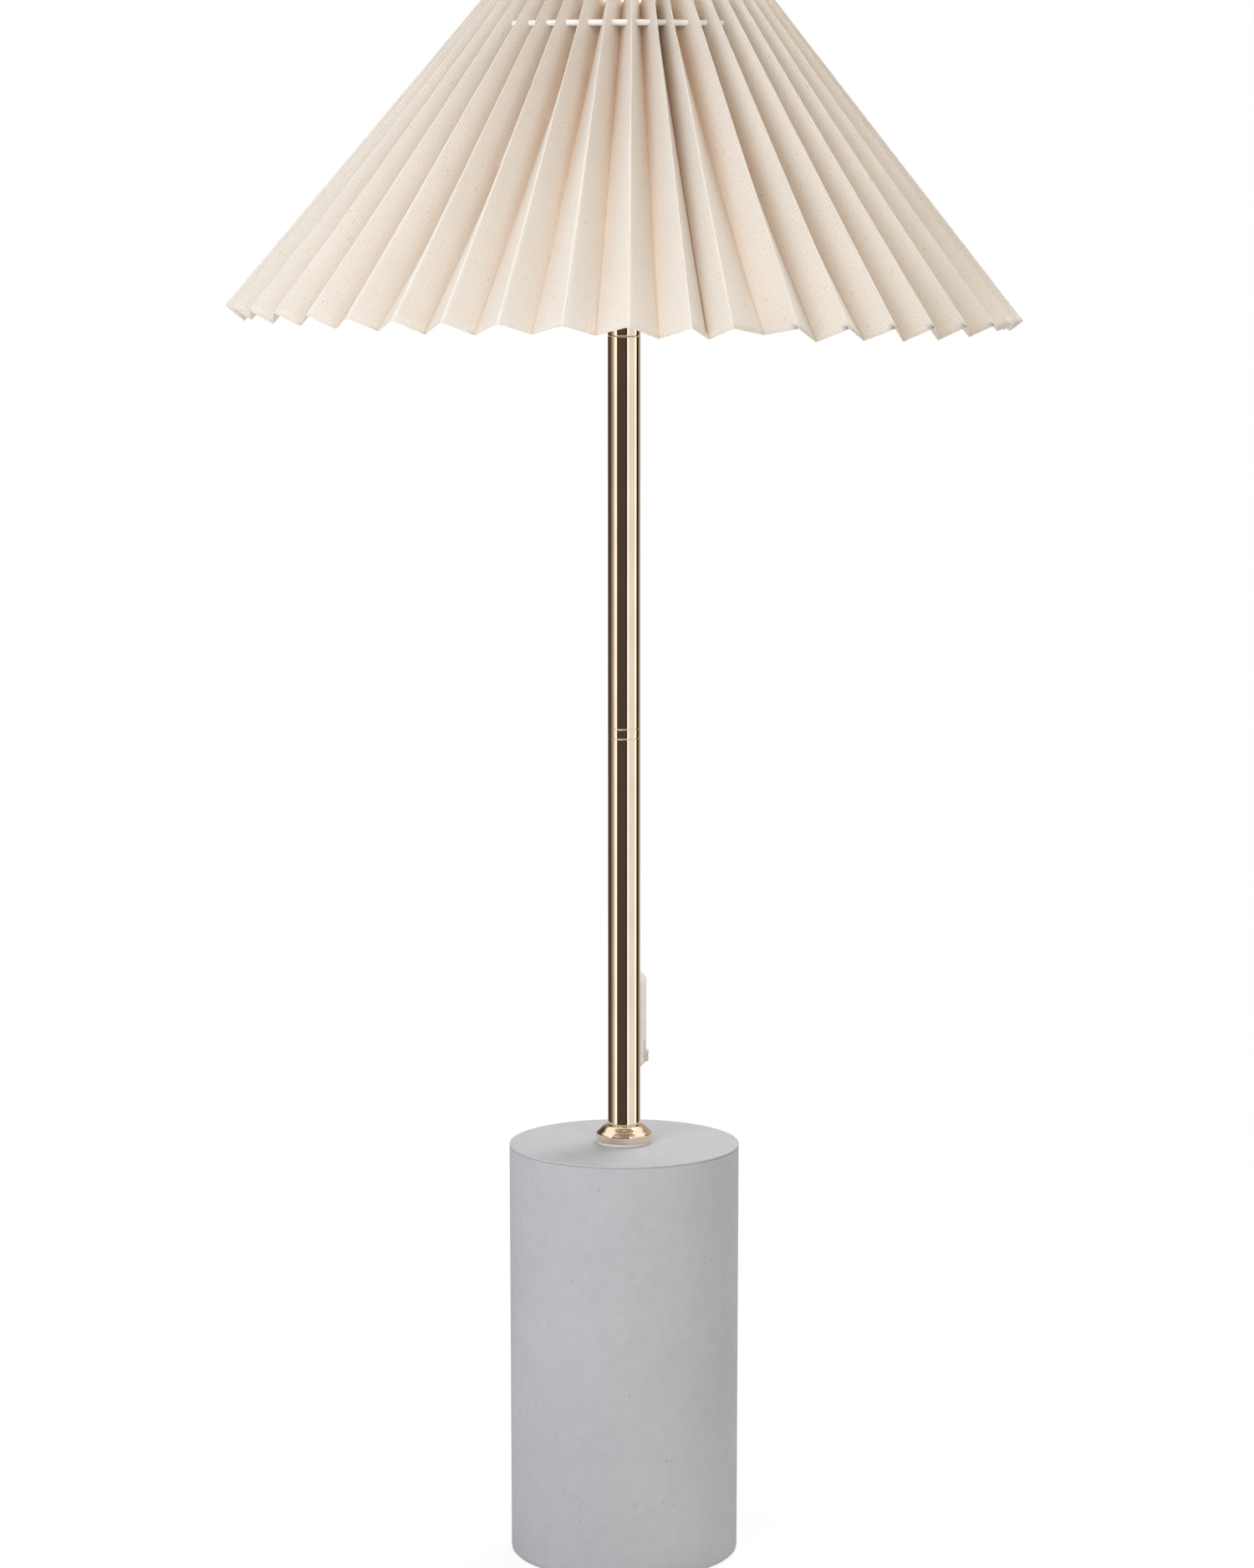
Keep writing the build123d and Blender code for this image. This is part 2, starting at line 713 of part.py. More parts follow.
with BuildPart() as switch_bridge:
    with BuildSketch(switch_plane(bridge_floor + bridge_thickness)):
        with Locations((contact_side + contact_width / 2, button_height)):
            Rectangle(contact_width, bridge_length)
    extrude(amount=bridge_thickness)
switch_bridge.part.label = "switch_bridge"
export_step(switch_bridge.part, "parts/switch_bridge.step")

# Two contact strips on the housing floor, each with a tag standing over the lead hole
fixed_pad_low = contact_foot + contact_pad + contact_gap
riser_height = lead_hole_height - lead_hole_radius - contact_thickness
tag_high = lead_hole_height + lead_hole_radius - contact_thickness
right_strip = contact_side + contact_width / 2


def contact_strip(side, low):
    """A straight floor strip on one side, its riser and its tag over the lead hole."""
    with BuildPart() as strip:
        with BuildSketch(switch_plane(switch_floor + contact_thickness)):
            with Locations((side, (low + riser_height) / 2)):
                Rectangle(contact_width, riser_height - low)
        extrude(amount=contact_thickness)
        with BuildSketch(switch_plane(contact_riser + contact_thickness)):
            with Locations((side, riser_height - contact_thickness / 2)):
                Rectangle(contact_width, contact_thickness)
        extrude(amount=contact_riser + contact_thickness - switch_floor)
        with BuildSketch(switch_plane(contact_riser + contact_thickness)):
            with Locations((side, (riser_height + tag_high) / 2)):
                Rectangle(contact_width, tag_high - riser_height)
        extrude(amount=contact_thickness)
    return strip


feed_contact = contact_strip(right_strip, fixed_pad_low)
feed_contact.part.label = "feed_contact"
export_step(feed_contact.part, "parts/feed_contact.step")

with BuildPart() as output_contact:
    add(contact_strip(-right_strip, contact_foot).part)
    with BuildSketch(switch_plane(switch_floor + contact_thickness)):
        with Locations((0, contact_foot + contact_pad / 4)):
            Rectangle(2 * right_strip, contact_pad / 2)
        with Locations((right_strip, contact_foot + contact_pad / 2)):
            Rectangle(contact_width, contact_pad)
    extrude(amount=contact_thickness)
output_contact.part.label = "output_contact"
export_step(output_contact.part, "parts/output_contact.step")

# Lampholder heights
cap_low = neck_ring_high
cap_shoulder = cap_low + cap_rise
cap_high = cap_shoulder + cap_skirt
shell_high = cap_high + shell_length
shoulder_low = cap_high + shoulder_height
carrier_low = shoulder_low + shoulder_thickness
insulator_high = cap_high + shell_ledge
insulator_low = insulator_high - insulator_thickness
socket_low = insulator_high + insulator_hub
bulb_low = socket_low + contact_spring_rise
bulb_insulator_low = bulb_low + bulb_tip_height
bulb_thread_low = bulb_insulator_low + bulb_insulator_height
socket_thread_low = bulb_thread_low - socket_lead_turns * thread_pitch
shell_bore = shell_radius - shell_wall
skirt_radius = cap_radius - cap_wall - thread_gap

# Cap of the lampholder: a boss on the nipple, a flared bowl and a skirt
with BuildPart() as holder_cap:
    with BuildSketch(Plane.XZ):
        with BuildLine():
            Polyline(
                (cap_boss_radius, cap_low),
                (thread_radius + thread_gap, cap_low),
                (thread_radius + thread_gap, cap_low + cap_boss_height),
                (cap_boss_radius, cap_low + cap_boss_height),
                (cap_boss_radius + cap_wall, cap_low + 2 * cap_wall),
            )
            SagittaArc(
                (cap_boss_radius + cap_wall, cap_low + 2 * cap_wall),
                (cap_radius - cap_wall, cap_shoulder),
                cap_wall,
            )
            Polyline(
                (cap_radius - cap_wall, cap_shoulder),
                (cap_radius - cap_wall, cap_high),
                (cap_radius, cap_high),
                (cap_radius, cap_shoulder),
            )
            SagittaArc((cap_radius, cap_shoulder), (cap_boss_radius, cap_low), -cap_wall)
        make_face()
    revolve(axis=Axis.Z)
holder_cap.part.label = "holder_cap"
export_step(holder_cap.part, "parts/holder_cap.step")

# Shell of the lampholder: a skirt inside the cap, a ledge on the insulator and the shade's shoulder
with BuildPart() as holder_shell:
    with BuildSketch(Plane.XZ):
        with BuildLine():
            Polyline(
                (shell_bore, cap_high - shell_skirt),
                (skirt_radius, cap_high - shell_skirt),
                (skirt_radius, cap_high),
                (shell_radius, cap_high),
                (shell_radius, shoulder_low),
                (shoulder_radius, shoulder_low),
                (shoulder_radius, carrier_low),
                (shell_radius, carrier_low),
                (shell_radius, shell_high),
                (shell_bore, shell_high),
                (shell_bore, insulator_high + shell_ledge),
                (shell_bore - shell_ledge, insulator_high + shell_ledge),
                (shell_bore - shell_ledge, insulator_high),
                (shell_bore, insulator_high),
                close=True,
            )
        make_face()
    revolve(axis=Axis.Z)
holder_shell.part.label = "holder_shell"
export_step(holder_shell.part, "parts/holder_shell.step")

# Ceramic insulator that carries the contacts, with two terminal screws in its underside
socket_root = thread_root + socket_gap
socket_crest = thread_crest + socket_gap

with BuildPart() as holder_insulator:
    with BuildSketch(Plane.XY.offset(insulator_low)):
        Circle(shell_bore - thread_gap)
    extrude(amount=insulator_thickness)
    with BuildSketch(Plane.XY.offset(insulator_high)):
        Circle(socket_crest + socket_wall)
    extrude(amount=insulator_hub)
    with BuildSketch(Plane.XY.offset(insulator_low)):
        with GridLocations(socket_screw_spacing, 0, 2, 1):
            Circle(socket_screw_radius + thread_gap)
    extrude(amount=insulator_thickness / 2, mode=Mode.SUBTRACT)
holder_insulator.part.label = "holder_insulator"
export_step(holder_insulator.part, "parts/holder_insulator.step")

with BuildPart() as holder_terminal_screws:
    with BuildSketch(Plane.XY.offset(insulator_low - terminal_head)):
        with GridLocations(socket_screw_spacing, 0, 2, 1):
            Circle(terminal_head_radius)
    extrude(amount=terminal_head)
    with BuildSketch(Plane.XY.offset(insulator_low)):
        with GridLocations(socket_screw_spacing, 0, 2, 1):
            Circle(socket_screw_radius)
    extrude(amount=insulator_thickness / 2)
    with BuildSketch(Plane.XY.offset(insulator_low - terminal_head)):
        with GridLocations(socket_screw_spacing, 0, 2, 1):
            Rectangle(2 * terminal_head_radius, terminal_head_radius / 3)
    extrude(amount=terminal_head / 2, mode=Mode.SUBTRACT)
holder_terminal_screws.part.label = "holder_terminal_screws"
export_step(holder_terminal_screws.part, "parts/holder_terminal_screws.step")


def thread_points(crest, root, low, turns):
    """Corner points up the side of a rolled thread, from its lower end."""
    points = []
    for turn in range(turns):
        foot = low + turn * thread_pitch
        points.append((root, foot))
        points.append((crest, foot + thread_pitch / 2))
    points.append((root, low + turns * thread_pitch))
    return points


# Threaded brass shell that the bulb screws into
inside = [(socket_root, socket_low)]
inside += thread_points(socket_crest, socket_root, socket_thread_low, socket_turns)
outside = [(radius + socket_wall, height) for radius, height in inside]

with BuildPart() as screw_shell:
    with BuildSketch(Plane.XZ):
        with BuildLine():
            Polyline(*inside, *reversed(outside), close=True)
        make_face()
    revolve(axis=Axis.Z)
screw_shell.part.label = "screw_shell"
export_step(screw_shell.part, "parts/screw_shell.step")

# Springy centre contact under the bulb's tip
with BuildPart() as centre_contact:
    with BuildSketch(Plane.XZ.offset(contact_spring_width / 2)):
        with BuildLine():
            Polyline(
                (-insulator_hub_radius, socket_low),
                (insulator_hub_radius, socket_low),
                (insulator_hub_radius, socket_low + contact_thickness),
                (-insulator_hub_radius + contact_spring_rise, socket_low + contact_thickness),
                (contact_spring_rise, socket_low + contact_spring_rise - contact_thickness),
                (contact_spring_rise, socket_low + contact_spring_rise),
                (-contact_spring_rise, socket_low + contact_spring_rise),
                (-insulator_hub_radius, socket_low + contact_thickness),
                close=True,
            )
        make_face()
    extrude(amount=-contact_spring_width)
centre_contact.part.label = "centre_contact"
export_step(centre_contact.part, "parts/centre_contact.step")

# Bulb: tip contact, black insulator, threaded cap, glass, stem and filaments
bulb_neck = bulb_thread_low + cap_turns * thread_pitch
bulb_centre = bulb_low + bulb_length - bulb_radius

with BuildPart() as bulb_tip_contact:
    with BuildSketch(Plane.XY.offset(bulb_low)):
        Circle(bulb_tip_radius)
    extrude(amount=bulb_tip_height)
    fillet(bulb_tip_contact.edges().sort_by(Axis.Z)[0], bulb_tip_height / 2)
bulb_tip_contact.part.label = "bulb_tip_contact"
export_step(bulb_tip_contact.part, "parts/bulb_tip_contact.step")

with BuildPart() as bulb_insulator:
    with BuildSketch(Plane.XY.offset(bulb_insulator_low)):
        Circle(bulb_tip_radius + bulb_tip_height / 2)
    with BuildSketch(Plane.XY.offset(bulb_thread_low)):
        Circle(thread_root - bulb_cap_wall)
    loft()
bulb_insulator.part.label = "bulb_insulator"
export_step(bulb_insulator.part, "parts/bulb_insulator.step")

cap_outside = thread_points(thread_crest, thread_root, bulb_thread_low, cap_turns)
cap_inside = [(radius - bulb_cap_wall, height) for radius, height in cap_outside]

with BuildPart() as bulb_cap:
    with BuildSketch(Plane.XZ):
        with BuildLine():
            Polyline(*cap_outside, *reversed(cap_inside), close=True)
        make_face()
    revolve(axis=Axis.Z)
    with BuildSketch(Plane.XY.offset(bulb_thread_low)):
        Circle(thread_root - bulb_cap_wall / 2)
    extrude(amount=bulb_cap_wall)
bulb_cap.part.label = "bulb_cap"
export_step(bulb_cap.part, "parts/bulb_cap.step")


def bulb_body(shrink):
    """The bulb's pear shape, drawn in by a wall thickness: a neck, a swelling side and a round crown."""
    crown = bulb_radius - shrink
    neck = bulb_neck_radius - shrink
    with BuildPart() as body:
        with BuildSketch(Plane.XZ):
            with BuildLine():
                side = Spline(
                    (neck, bulb_neck + shrink),
                    (crown, bulb_centre),
                    tangents=((0, 1), (0, 1)),
                    tangent_scalars=(bulb_neck_pull, bulb_crown_pull),
                )
                CenterArc((0, bulb_centre), crown, 0, 90)
                Polyline((0, bulb_centre + crown), (0, bulb_neck + shrink), side @ 0)
            make_face()
        revolve(axis=Axis.Z)
    return body


with BuildPart() as bulb_glass:
    add(bulb_body(0).part)
    add(bulb_body(bulb_glass_wall).part, mode=Mode.SUBTRACT)
bulb_glass.part.label = "bulb_glass"
export_step(bulb_glass.part, "parts/bulb_glass.step")

stem_low = bulb_neck + bulb_glass_wall
stem_high = stem_low + bulb_stem_length

with BuildPart() as bulb_stem:
    with BuildSketch(Plane.XY.offset(stem_low)):
        Circle(bulb_stem_radius)
    extrude(amount=bulb_stem_length)
    fillet(bulb_stem.edges().sort_by(Axis.Z)[-1], bulb_stem_radius / 2)
bulb_stem.part.label = "bulb_stem"
export_step(bulb_stem.part, "parts/bulb_stem.step")

filament_low = stem_high - bulb_stem_radius
filament_foot = bulb_stem_radius + filament_radius + slip_gap

with BuildPart() as bulb_filaments:
    for turn in range(filament_count):
        angle = 2 * math.pi * turn / filament_count
        foot = (
            filament_foot * math.cos(angle),
            filament_foot * math.sin(angle),
            filament_low,
        )
        head = (
            filament_spread * math.cos(angle),
            filament_spread * math.sin(angle),
            filament_low + filament_length,
        )
        with BuildLine():
            Line(foot, head)
        with BuildSketch(Plane(origin=foot, z_dir=Vector(*head) - Vector(*foot))):
            Circle(filament_radius)
        sweep()
bulb_filaments.part.label = "bulb_filaments"
export_step(bulb_filaments.part, "parts/bulb_filaments.step")

# Fitter ring on the lampholder's shoulder and the ring nut that holds it down
nut_ring_low = carrier_low + fitter_thickness
nut_ring_bore = shell_radius + thread_gap

fitter_ring = sleeve(fitter_radius, shell_radius + slip_gap, carrier_low, nut_ring_low)
fitter_ring.part.label = "fitter_ring"
export_step(fitter_ring.part, "parts/fitter_ring.step")

with BuildPart() as shade_ring_nut:
    with BuildSketch(Plane.XY.offset(nut_ring_low)):
        Circle(nut_ring_flange_radius)
    extrude(amount=nut_ring_flange)
    with BuildSketch(Plane.XY.offset(nut_ring_low + nut_ring_flange)):
        Circle(nut_ring_bore + nut_ring_wall)
    extrude(amount=nut_ring_height - nut_ring_flange)
    with BuildSketch(Plane.XY.offset(nut_ring_low)):
        with PolarLocations(nut_ring_flange_radius, nut_ring_notch_count):
            Circle(nut_ring_notch)
    extrude(amount=nut_ring_flange, mode=Mode.SUBTRACT)
    with BuildSketch(Plane.XY.offset(nut_ring_low)):
        Circle(nut_ring_bore)
    extrude(amount=nut_ring_height, mode=Mode.SUBTRACT)
shade_ring_nut.part.label = "shade_ring_nut"
export_step(shade_ring_nut.part, "parts/shade_ring_nut.step")

# Shade and wire ring places: the ring lies against the inside of the shade, below its top
slope = math.radians(shade_slope)
wire_ring_height = nut_ring_low + carrier_rise
shade_top_height = wire_ring_height + shade_above_ring
shade_hem_radius = shade_top_radius + shade_slant * math.sin(slope)
shade_hem_height = shade_top_height - shade_slant * math.cos(slope)
wire_depth = (shade_wall + seat_gap + wire_radius) / math.cos(slope)
wire_ring_radius = shade_top_radius + shade_above_ring * math.tan(slope) - wire_depth

# Wire ring inside the shade, and the dropped arms welded to it
with BuildPart() as top_wire_ring:
    with Locations((0, 0, wire_ring_height)):
        Torus(wire_ring_radius, wire_radius)
top_wire_ring.part.label = "top_wire_ring"
export_step(top_wire_ring.part, "parts/top_wire_ring.step")

arm_foot_height = nut_ring_low + arm_radius - weld
arm_rise = Vector(wire_ring_radius - arm_elbow_radius, wire_ring_height - arm_foot_height)
arm_end = Vector(wire_ring_radius, wire_ring_height) - arm_rise.normalized() * (wire_radius - weld)

with BuildPart() as carrier_arms:
    for arm in range(arm_count):
        arm_plane = radial_plane(first_arm_angle + 360 * arm / arm_count)
        with BuildLine(arm_plane) as arm_run:
            FilletPolyline(
                (arm_foot_radius, arm_foot_height),
                (arm_elbow_radius, arm_foot_height),
                (arm_end.X, arm_end.Y),
                radius=arm_bend,
            )
        with BuildSketch(Plane(origin=arm_run.line @ 0, z_dir=arm_run.line % 0)):
            Circle(arm_radius)
        sweep()
carrier_arms.part.label = "carrier_arms"
export_step(carrier_arms.part, "parts/carrier_arms.step")

# Shade wall, cut square to its slope and parted all the way round into lengths that meet
wall_in = shade_wall * math.cos(slope)
wall_down = shade_wall * math.sin(slope)

with BuildPart() as pleated_shade:
    with BuildSketch(Plane.XZ):
        with BuildLine():
            Polyline(
                (shade_top_radius, shade_top_height),
                (shade_hem_radius, shade_hem_height),
                (shade_hem_radius - wall_in, shade_hem_height - wall_down),
                (shade_top_radius - wall_in, shade_top_height - wall_down),
                close=True,
            )
        make_face()
    revolve(axis=Axis.Z)
    for cut in range(shade_part_count // 2):
        cut_angle = first_arm_angle + 360 * (cut + 0.5) / shade_part_count
        split(bisect_by=radial_plane(cut_angle), keep=Keep.BOTH)
pleated_shade.part.label = "pleated_shade"
export_step(pleated_shade.part, "parts/pleated_shade.step")

# Leads: from the terminal block up the stem, out to the switch and up to the lampholder
feed_route = [
    (terminal_pitch / 2, 0, terminal_entry_floor),
    (terminal_pitch / 2, 0, terminal_top + lead_straight),
    switch_point(lead_offset, -lead_setback, rod_low - lead_straight),
    switch_point(lead_offset, -lead_setback, lead_hole_height),
    switch_point(lead_offset, contact_riser, lead_hole_height),
]
output_route = [
    switch_point(-lead_offset, contact_riser, lead_hole_height),
    switch_point(-lead_offset, -lead_setback, lead_hole_height),
    switch_point(-lead_offset, -lead_setback, insulator_low),
]
neutral_route = [
    (-terminal_pitch / 2, 0, terminal_entry_floor),
    (-terminal_pitch / 2, 0, terminal_top + lead_straight),
    switch_point(0, neutral_offset, rod_low - lead_straight),
    switch_point(0, neutral_offset, insulator_low),
]


def lead_radii(route):
    """A radius for each corner of a lead: as large as its runs allow, and tight only at the switch."""
    radii = []
    for before, corner, after in zip(route, route[1:], route[2:]):
        arriving = Vector(*corner) - Vector(*before)
        leaving = Vector(*after) - Vector(*corner)
        turn = arriving.get_angle(leaving)
        roomy = lead_roomy_share * min(arriving.length, leaving.length) / math.tan(math.radians(turn) / 2)
        radii.append(lead_bend if turn > lead_sharp_turn else roomy)
    return radii


for name, route in (
    ("feed_lead", feed_route),
    ("output_lead", output_route),
    ("neutral_lead", neutral_route),
):
    radii = lead_radii(route)
    with BuildPart() as lead:
        with BuildLine() as run:
            FilletPolyline(*route, radius=radii)
        with BuildSketch(Plane(origin=run.line @ 0, z_dir=run.line % 0)):
            Circle(lead_radius)
        sweep()
    print(name, "bends", [round(radius, 1) for radius in radii], "length", round(run.wire().length, 1))
    lead.part.label = name
    export_step(lead.part, f"parts/{name}.step")
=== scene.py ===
# %% [markdown]
# # A linen table lamp
# The lamp is a pleated linen shade on a gold tube, and the tube stands on a cast concrete block.
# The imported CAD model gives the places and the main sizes. This script dresses it: round metal is
# turned again so finely that its reflections run true, the shade is folded from one strip of cloth,
# and every surface gets a finish with the detail that the real one shows.

# %% Frame
import json
import math
import random

import bmesh
import bpy
from mathutils import Matrix, Vector


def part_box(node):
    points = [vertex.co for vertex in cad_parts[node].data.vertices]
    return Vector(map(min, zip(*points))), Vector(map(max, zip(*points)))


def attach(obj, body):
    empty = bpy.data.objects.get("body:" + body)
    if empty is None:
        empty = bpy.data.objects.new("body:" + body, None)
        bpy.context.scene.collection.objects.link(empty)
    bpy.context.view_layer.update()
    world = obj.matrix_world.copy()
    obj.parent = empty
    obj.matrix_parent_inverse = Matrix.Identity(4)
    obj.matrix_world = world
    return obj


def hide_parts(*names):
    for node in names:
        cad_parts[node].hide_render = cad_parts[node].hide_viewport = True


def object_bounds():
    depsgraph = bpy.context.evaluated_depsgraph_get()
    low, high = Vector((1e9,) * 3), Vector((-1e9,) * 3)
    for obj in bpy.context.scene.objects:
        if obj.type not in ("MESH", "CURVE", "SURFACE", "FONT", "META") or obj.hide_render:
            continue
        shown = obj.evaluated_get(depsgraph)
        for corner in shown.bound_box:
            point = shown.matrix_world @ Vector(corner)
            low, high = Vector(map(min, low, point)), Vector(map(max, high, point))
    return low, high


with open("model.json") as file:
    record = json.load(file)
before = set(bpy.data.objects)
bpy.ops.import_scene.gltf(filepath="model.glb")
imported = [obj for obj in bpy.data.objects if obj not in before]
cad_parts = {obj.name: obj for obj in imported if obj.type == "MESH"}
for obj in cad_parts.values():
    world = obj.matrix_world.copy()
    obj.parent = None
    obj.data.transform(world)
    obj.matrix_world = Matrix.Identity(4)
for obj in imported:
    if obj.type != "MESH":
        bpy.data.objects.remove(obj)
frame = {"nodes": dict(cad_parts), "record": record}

cad_low, cad_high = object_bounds()
scene = bpy.context.scene
mm = 0.001
print("CAD box", [round(v, 4) for v in cad_low], [round(v, 4) for v in cad_high])

# %% [markdown]
# ## The camera
# The photograph was taken from a little over two metres with a long lens, slightly above the foot of
# the shade and tilted down by under eight degrees. The stem's even taper in the picture gives the
# tilt, and the top of the base gives the height. A tilted camera needs no lens shift, so other
# views frame the lamp as well as this one does.

# %% Camera
camera_distance = 2.3179
camera_height = 0.7019
camera_side = 1.43 * mm
camera_tilt = math.radians(7.674)
picture_height = 1876
focal_pixels = 5659.4
sensor = 36.0

camera = bpy.data.objects.new("camera", bpy.data.cameras.new("camera"))
scene.collection.objects.link(camera)
camera.location = (camera_side, -camera_distance, camera_height)
camera.rotation_euler = (math.pi / 2 - camera_tilt, 0, 0)
camera.data.sensor_fit = "VERTICAL"
camera.data.sensor_height = sensor
camera.data.lens = sensor * focal_pixels / picture_height
scene.camera = camera
print("lens", round(camera.data.lens, 2), "mm")

# %% [markdown]
# ## Floor, backdrop and plain light
# The lamp stands on a white floor in front of a white backdrop. The floor is a large square, and
# the backdrop is the world itself, which only the camera, mirrors and glass see as pure white. The
# rest of the light is plain and comes from a soft world and four soft lamps. The key lamp stands near,
# on the left, because the shade's left side is the brighter one. A wider one, further away, fills the
# right more weakly, and a third brushes the left side. The fourth stands behind the lamp and lights
# the top of the base. It shines steeply down, so that the cloth doesn't burn out in views from behind.

# %% Light
def area_lamp(name, place, aim, size, power, colour=(1, 1, 1)):
    lamp = bpy.data.objects.new(name, bpy.data.lights.new(name, "AREA"))
    scene.collection.objects.link(lamp)
    lamp.location = place
    lamp.rotation_euler = (Vector(aim) - Vector(place)).to_track_quat("-Z", "Y").to_euler()
    lamp.data.size = size
    lamp.data.energy = power
    lamp.data.color = colour


area_lamp("key_lamp", (-0.95, -1.45, 1.25), (0, 0, 0.45), 1.2, 21.0, (0.97, 1.0, 1.07))
area_lamp("fill_lamp", (1.4, -2.4, 1.9), (0, 0, 0.45), 2.0, 31.0, (1.06, 0.98, 0.90))
area_lamp("side_lamp", (-2.7, -0.2, 1.2), (0, 0, 0.5), 1.6, 14.0)
area_lamp("back_lamp", (0.75, 1.42, 2.5), (0, 0, 0.25), 1.2, 51.0)

# %% [markdown]
# ## The world
# A world can show one thing to the camera and light the objects with another. Light Path tells which
# kind of ray is asking: the camera, mirrors and glass get pure white, and all others a weaker, warmer
# light, because the shadows between the photographed pleats are warm.

# %% World
world = bpy.data.worlds.new("white_studio")
scene.world = world
world.use_nodes = True
sky = world.node_tree
sky.nodes.clear()
sky_out = sky.nodes.new("ShaderNodeOutputWorld")
seen = sky.nodes.new("ShaderNodeBackground")
seen.inputs["Strength"].default_value = 1.0
felt = sky.nodes.new("ShaderNodeBackground")
felt.inputs["Strength"].default_value = 0.36
path = sky.nodes.new("ShaderNodeLightPath")
camera_or_mirror = sky.nodes.new("ShaderNodeMath")
camera_or_mirror.operation = "MAXIMUM"
sky.links.new(path.outputs["Is Camera Ray"], camera_or_mirror.inputs[0])
sky.links.new(path.outputs["Is Glossy Ray"], camera_or_mirror.inputs[1])
or_glass = sky.nodes.new("ShaderNodeMath")
or_glass.operation = "MAXIMUM"
sky.links.new(camera_or_mirror.outputs[0], or_glass.inputs[0])
sky.links.new(path.outputs["Is Transmission Ray"], or_glass.inputs[1])
sky_mix = sky.nodes.new("ShaderNodeMixShader")
sky.links.new(or_glass.outputs[0], sky_mix.inputs["Fac"])
sky.links.new(felt.outputs[0], sky_mix.inputs[1])
sky.links.new(seen.outputs[0], sky_mix.inputs[2])
sky.links.new(sky_mix.outputs[0], sky_out.inputs["Surface"])
seen.inputs["Color"].default_value = (1, 1, 1, 1)
felt.inputs["Color"].default_value = (1.06, 0.96, 0.87, 1)
scene.view_settings.view_transform = "Standard"
print("world", world.name)

# %% [markdown]
# ## Making a finish
# A finish is a Principled shader with its constants set on its own sockets, and a few textures that
# read the object's coordinates, or the cloth's own map. Two small helpers keep the recipes short: one
# starts a finish, and the other adds a node, whose inputs may be values or links.

# %% Finish helpers
def finish(name, roughness, metallic=0.0):
    material = bpy.data.materials.new(name)
    material.use_nodes = True
    tree = material.node_tree
    shader = tree.nodes["Principled BSDF"]
    shader.inputs["Roughness"].default_value = roughness
    shader.inputs["Metallic"].default_value = metallic
    return material, tree, shader


def node(tree, kind, inputs=None, **settings):
    made = tree.nodes.new("ShaderNode" + kind)
    for key, value in settings.items():
        setattr(made, key, value)
    for key, value in (inputs or {}).items():
        if isinstance(value, bpy.types.NodeSocket):
            tree.links.new(value, made.inputs[key])
        else:
            made.inputs[key].default_value = value
    return made


print("helpers", finish.__name__, node.__name__)

# %% [markdown]
# ## Textures for a finish
# Most of a finish's detail comes from noises. A ramp turns a noise into colours, a blend lays one
# colour over another, and a bump turns a height into relief without more faces, which suits grain,
# pores and yarns. Values are also rescaled from one span to another, and combined by simple sums.

# %% Texture helpers
def noise(tree, place, scale, detail=3.0, roughness=0.55):
    made = node(tree, "TexNoise", {"Vector": place, "Scale": scale, "Detail": detail, "Roughness": roughness})
    return made.outputs["Fac"]


def ramp(tree, value, stops):
    made = node(tree, "ValToRGB", {"Fac": value})
    band = made.color_ramp
    while len(band.elements) < len(stops):
        band.elements.new(0.5)
    for element, (at, colour) in zip(band.elements, stops):
        element.position = at
        element.color = (*colour, 1)
    return made.outputs["Color"]


def blend_colours(tree, share, first, second, kind="MIX"):
    made = node(tree, "Mix", {"Factor": share}, data_type="RGBA", blend_type=kind)
    for socket, value in ((made.inputs[6], first), (made.inputs[7], second)):
        if isinstance(value, bpy.types.NodeSocket):
            tree.links.new(value, socket)
        else:
            socket.default_value = (*value, 1)
    return made.outputs[2]


def bump(tree, shader, height, strength, depth):
    made = node(tree, "Bump", {"Height": height, "Strength": strength, "Distance": depth})
    tree.links.new(made.outputs["Normal"], shader.inputs["Normal"])


def rescale(tree, value, low, high, to_low=0.0, to_high=1.0):
    limits = {"Value": value, "From Min": low, "From Max": high, "To Min": to_low, "To Max": to_high}
    return node(tree, "MapRange", limits).outputs[0]


def combine(tree, operation, first, second):
    return node(tree, "Math", {0: first, 1: second}, operation=operation).outputs[0]


def object_place(tree):
    return node(tree, "TexCoord").outputs["Object"]


print("helpers", noise.__name__, ramp.__name__, blend_colours.__name__, bump.__name__)

# %% [markdown]
# ## The floor
# The camera has to see a white floor that still keeps a trace of the lamp's shadow. So its finish
# glows for the camera only, and near the lamp, where the shadow falls, a tenth of it stays real. From
# below it is clear, so that a view from there shows the lamp.

# %% Floor
floor_finish, tree, shader = finish("white_floor", 0.9)
shader.inputs["Base Color"].default_value = (0.92, 0.92, 0.92, 1)
floor_path = node(tree, "LightPath")
floor_glow = node(tree, "Emission", {"Color": (1, 1, 1, 1), "Strength": 1.0})
floor_away = node(tree, "VectorMath", {0: object_place(tree)}, operation="LENGTH").outputs["Value"]
floor_plain = rescale(tree, floor_away, 0.3, 1.2, 0.9, 1.0)
floor_share = node(tree, "MixShader", {"Fac": floor_plain})
floor_seen = node(tree, "MixShader", {"Fac": floor_path.outputs["Is Camera Ray"]})
tree.links.new(shader.outputs[0], floor_share.inputs[1])
tree.links.new(floor_glow.outputs[0], floor_share.inputs[2])
tree.links.new(shader.outputs[0], floor_seen.inputs[1])
tree.links.new(floor_share.outputs[0], floor_seen.inputs[2])
floor_clear = node(tree, "BsdfTransparent")
floor_side = node(tree, "MixShader", {"Fac": node(tree, "NewGeometry").outputs["Backfacing"]})
tree.links.new(floor_seen.outputs[0], floor_side.inputs[1])
tree.links.new(floor_clear.outputs[0], floor_side.inputs[2])
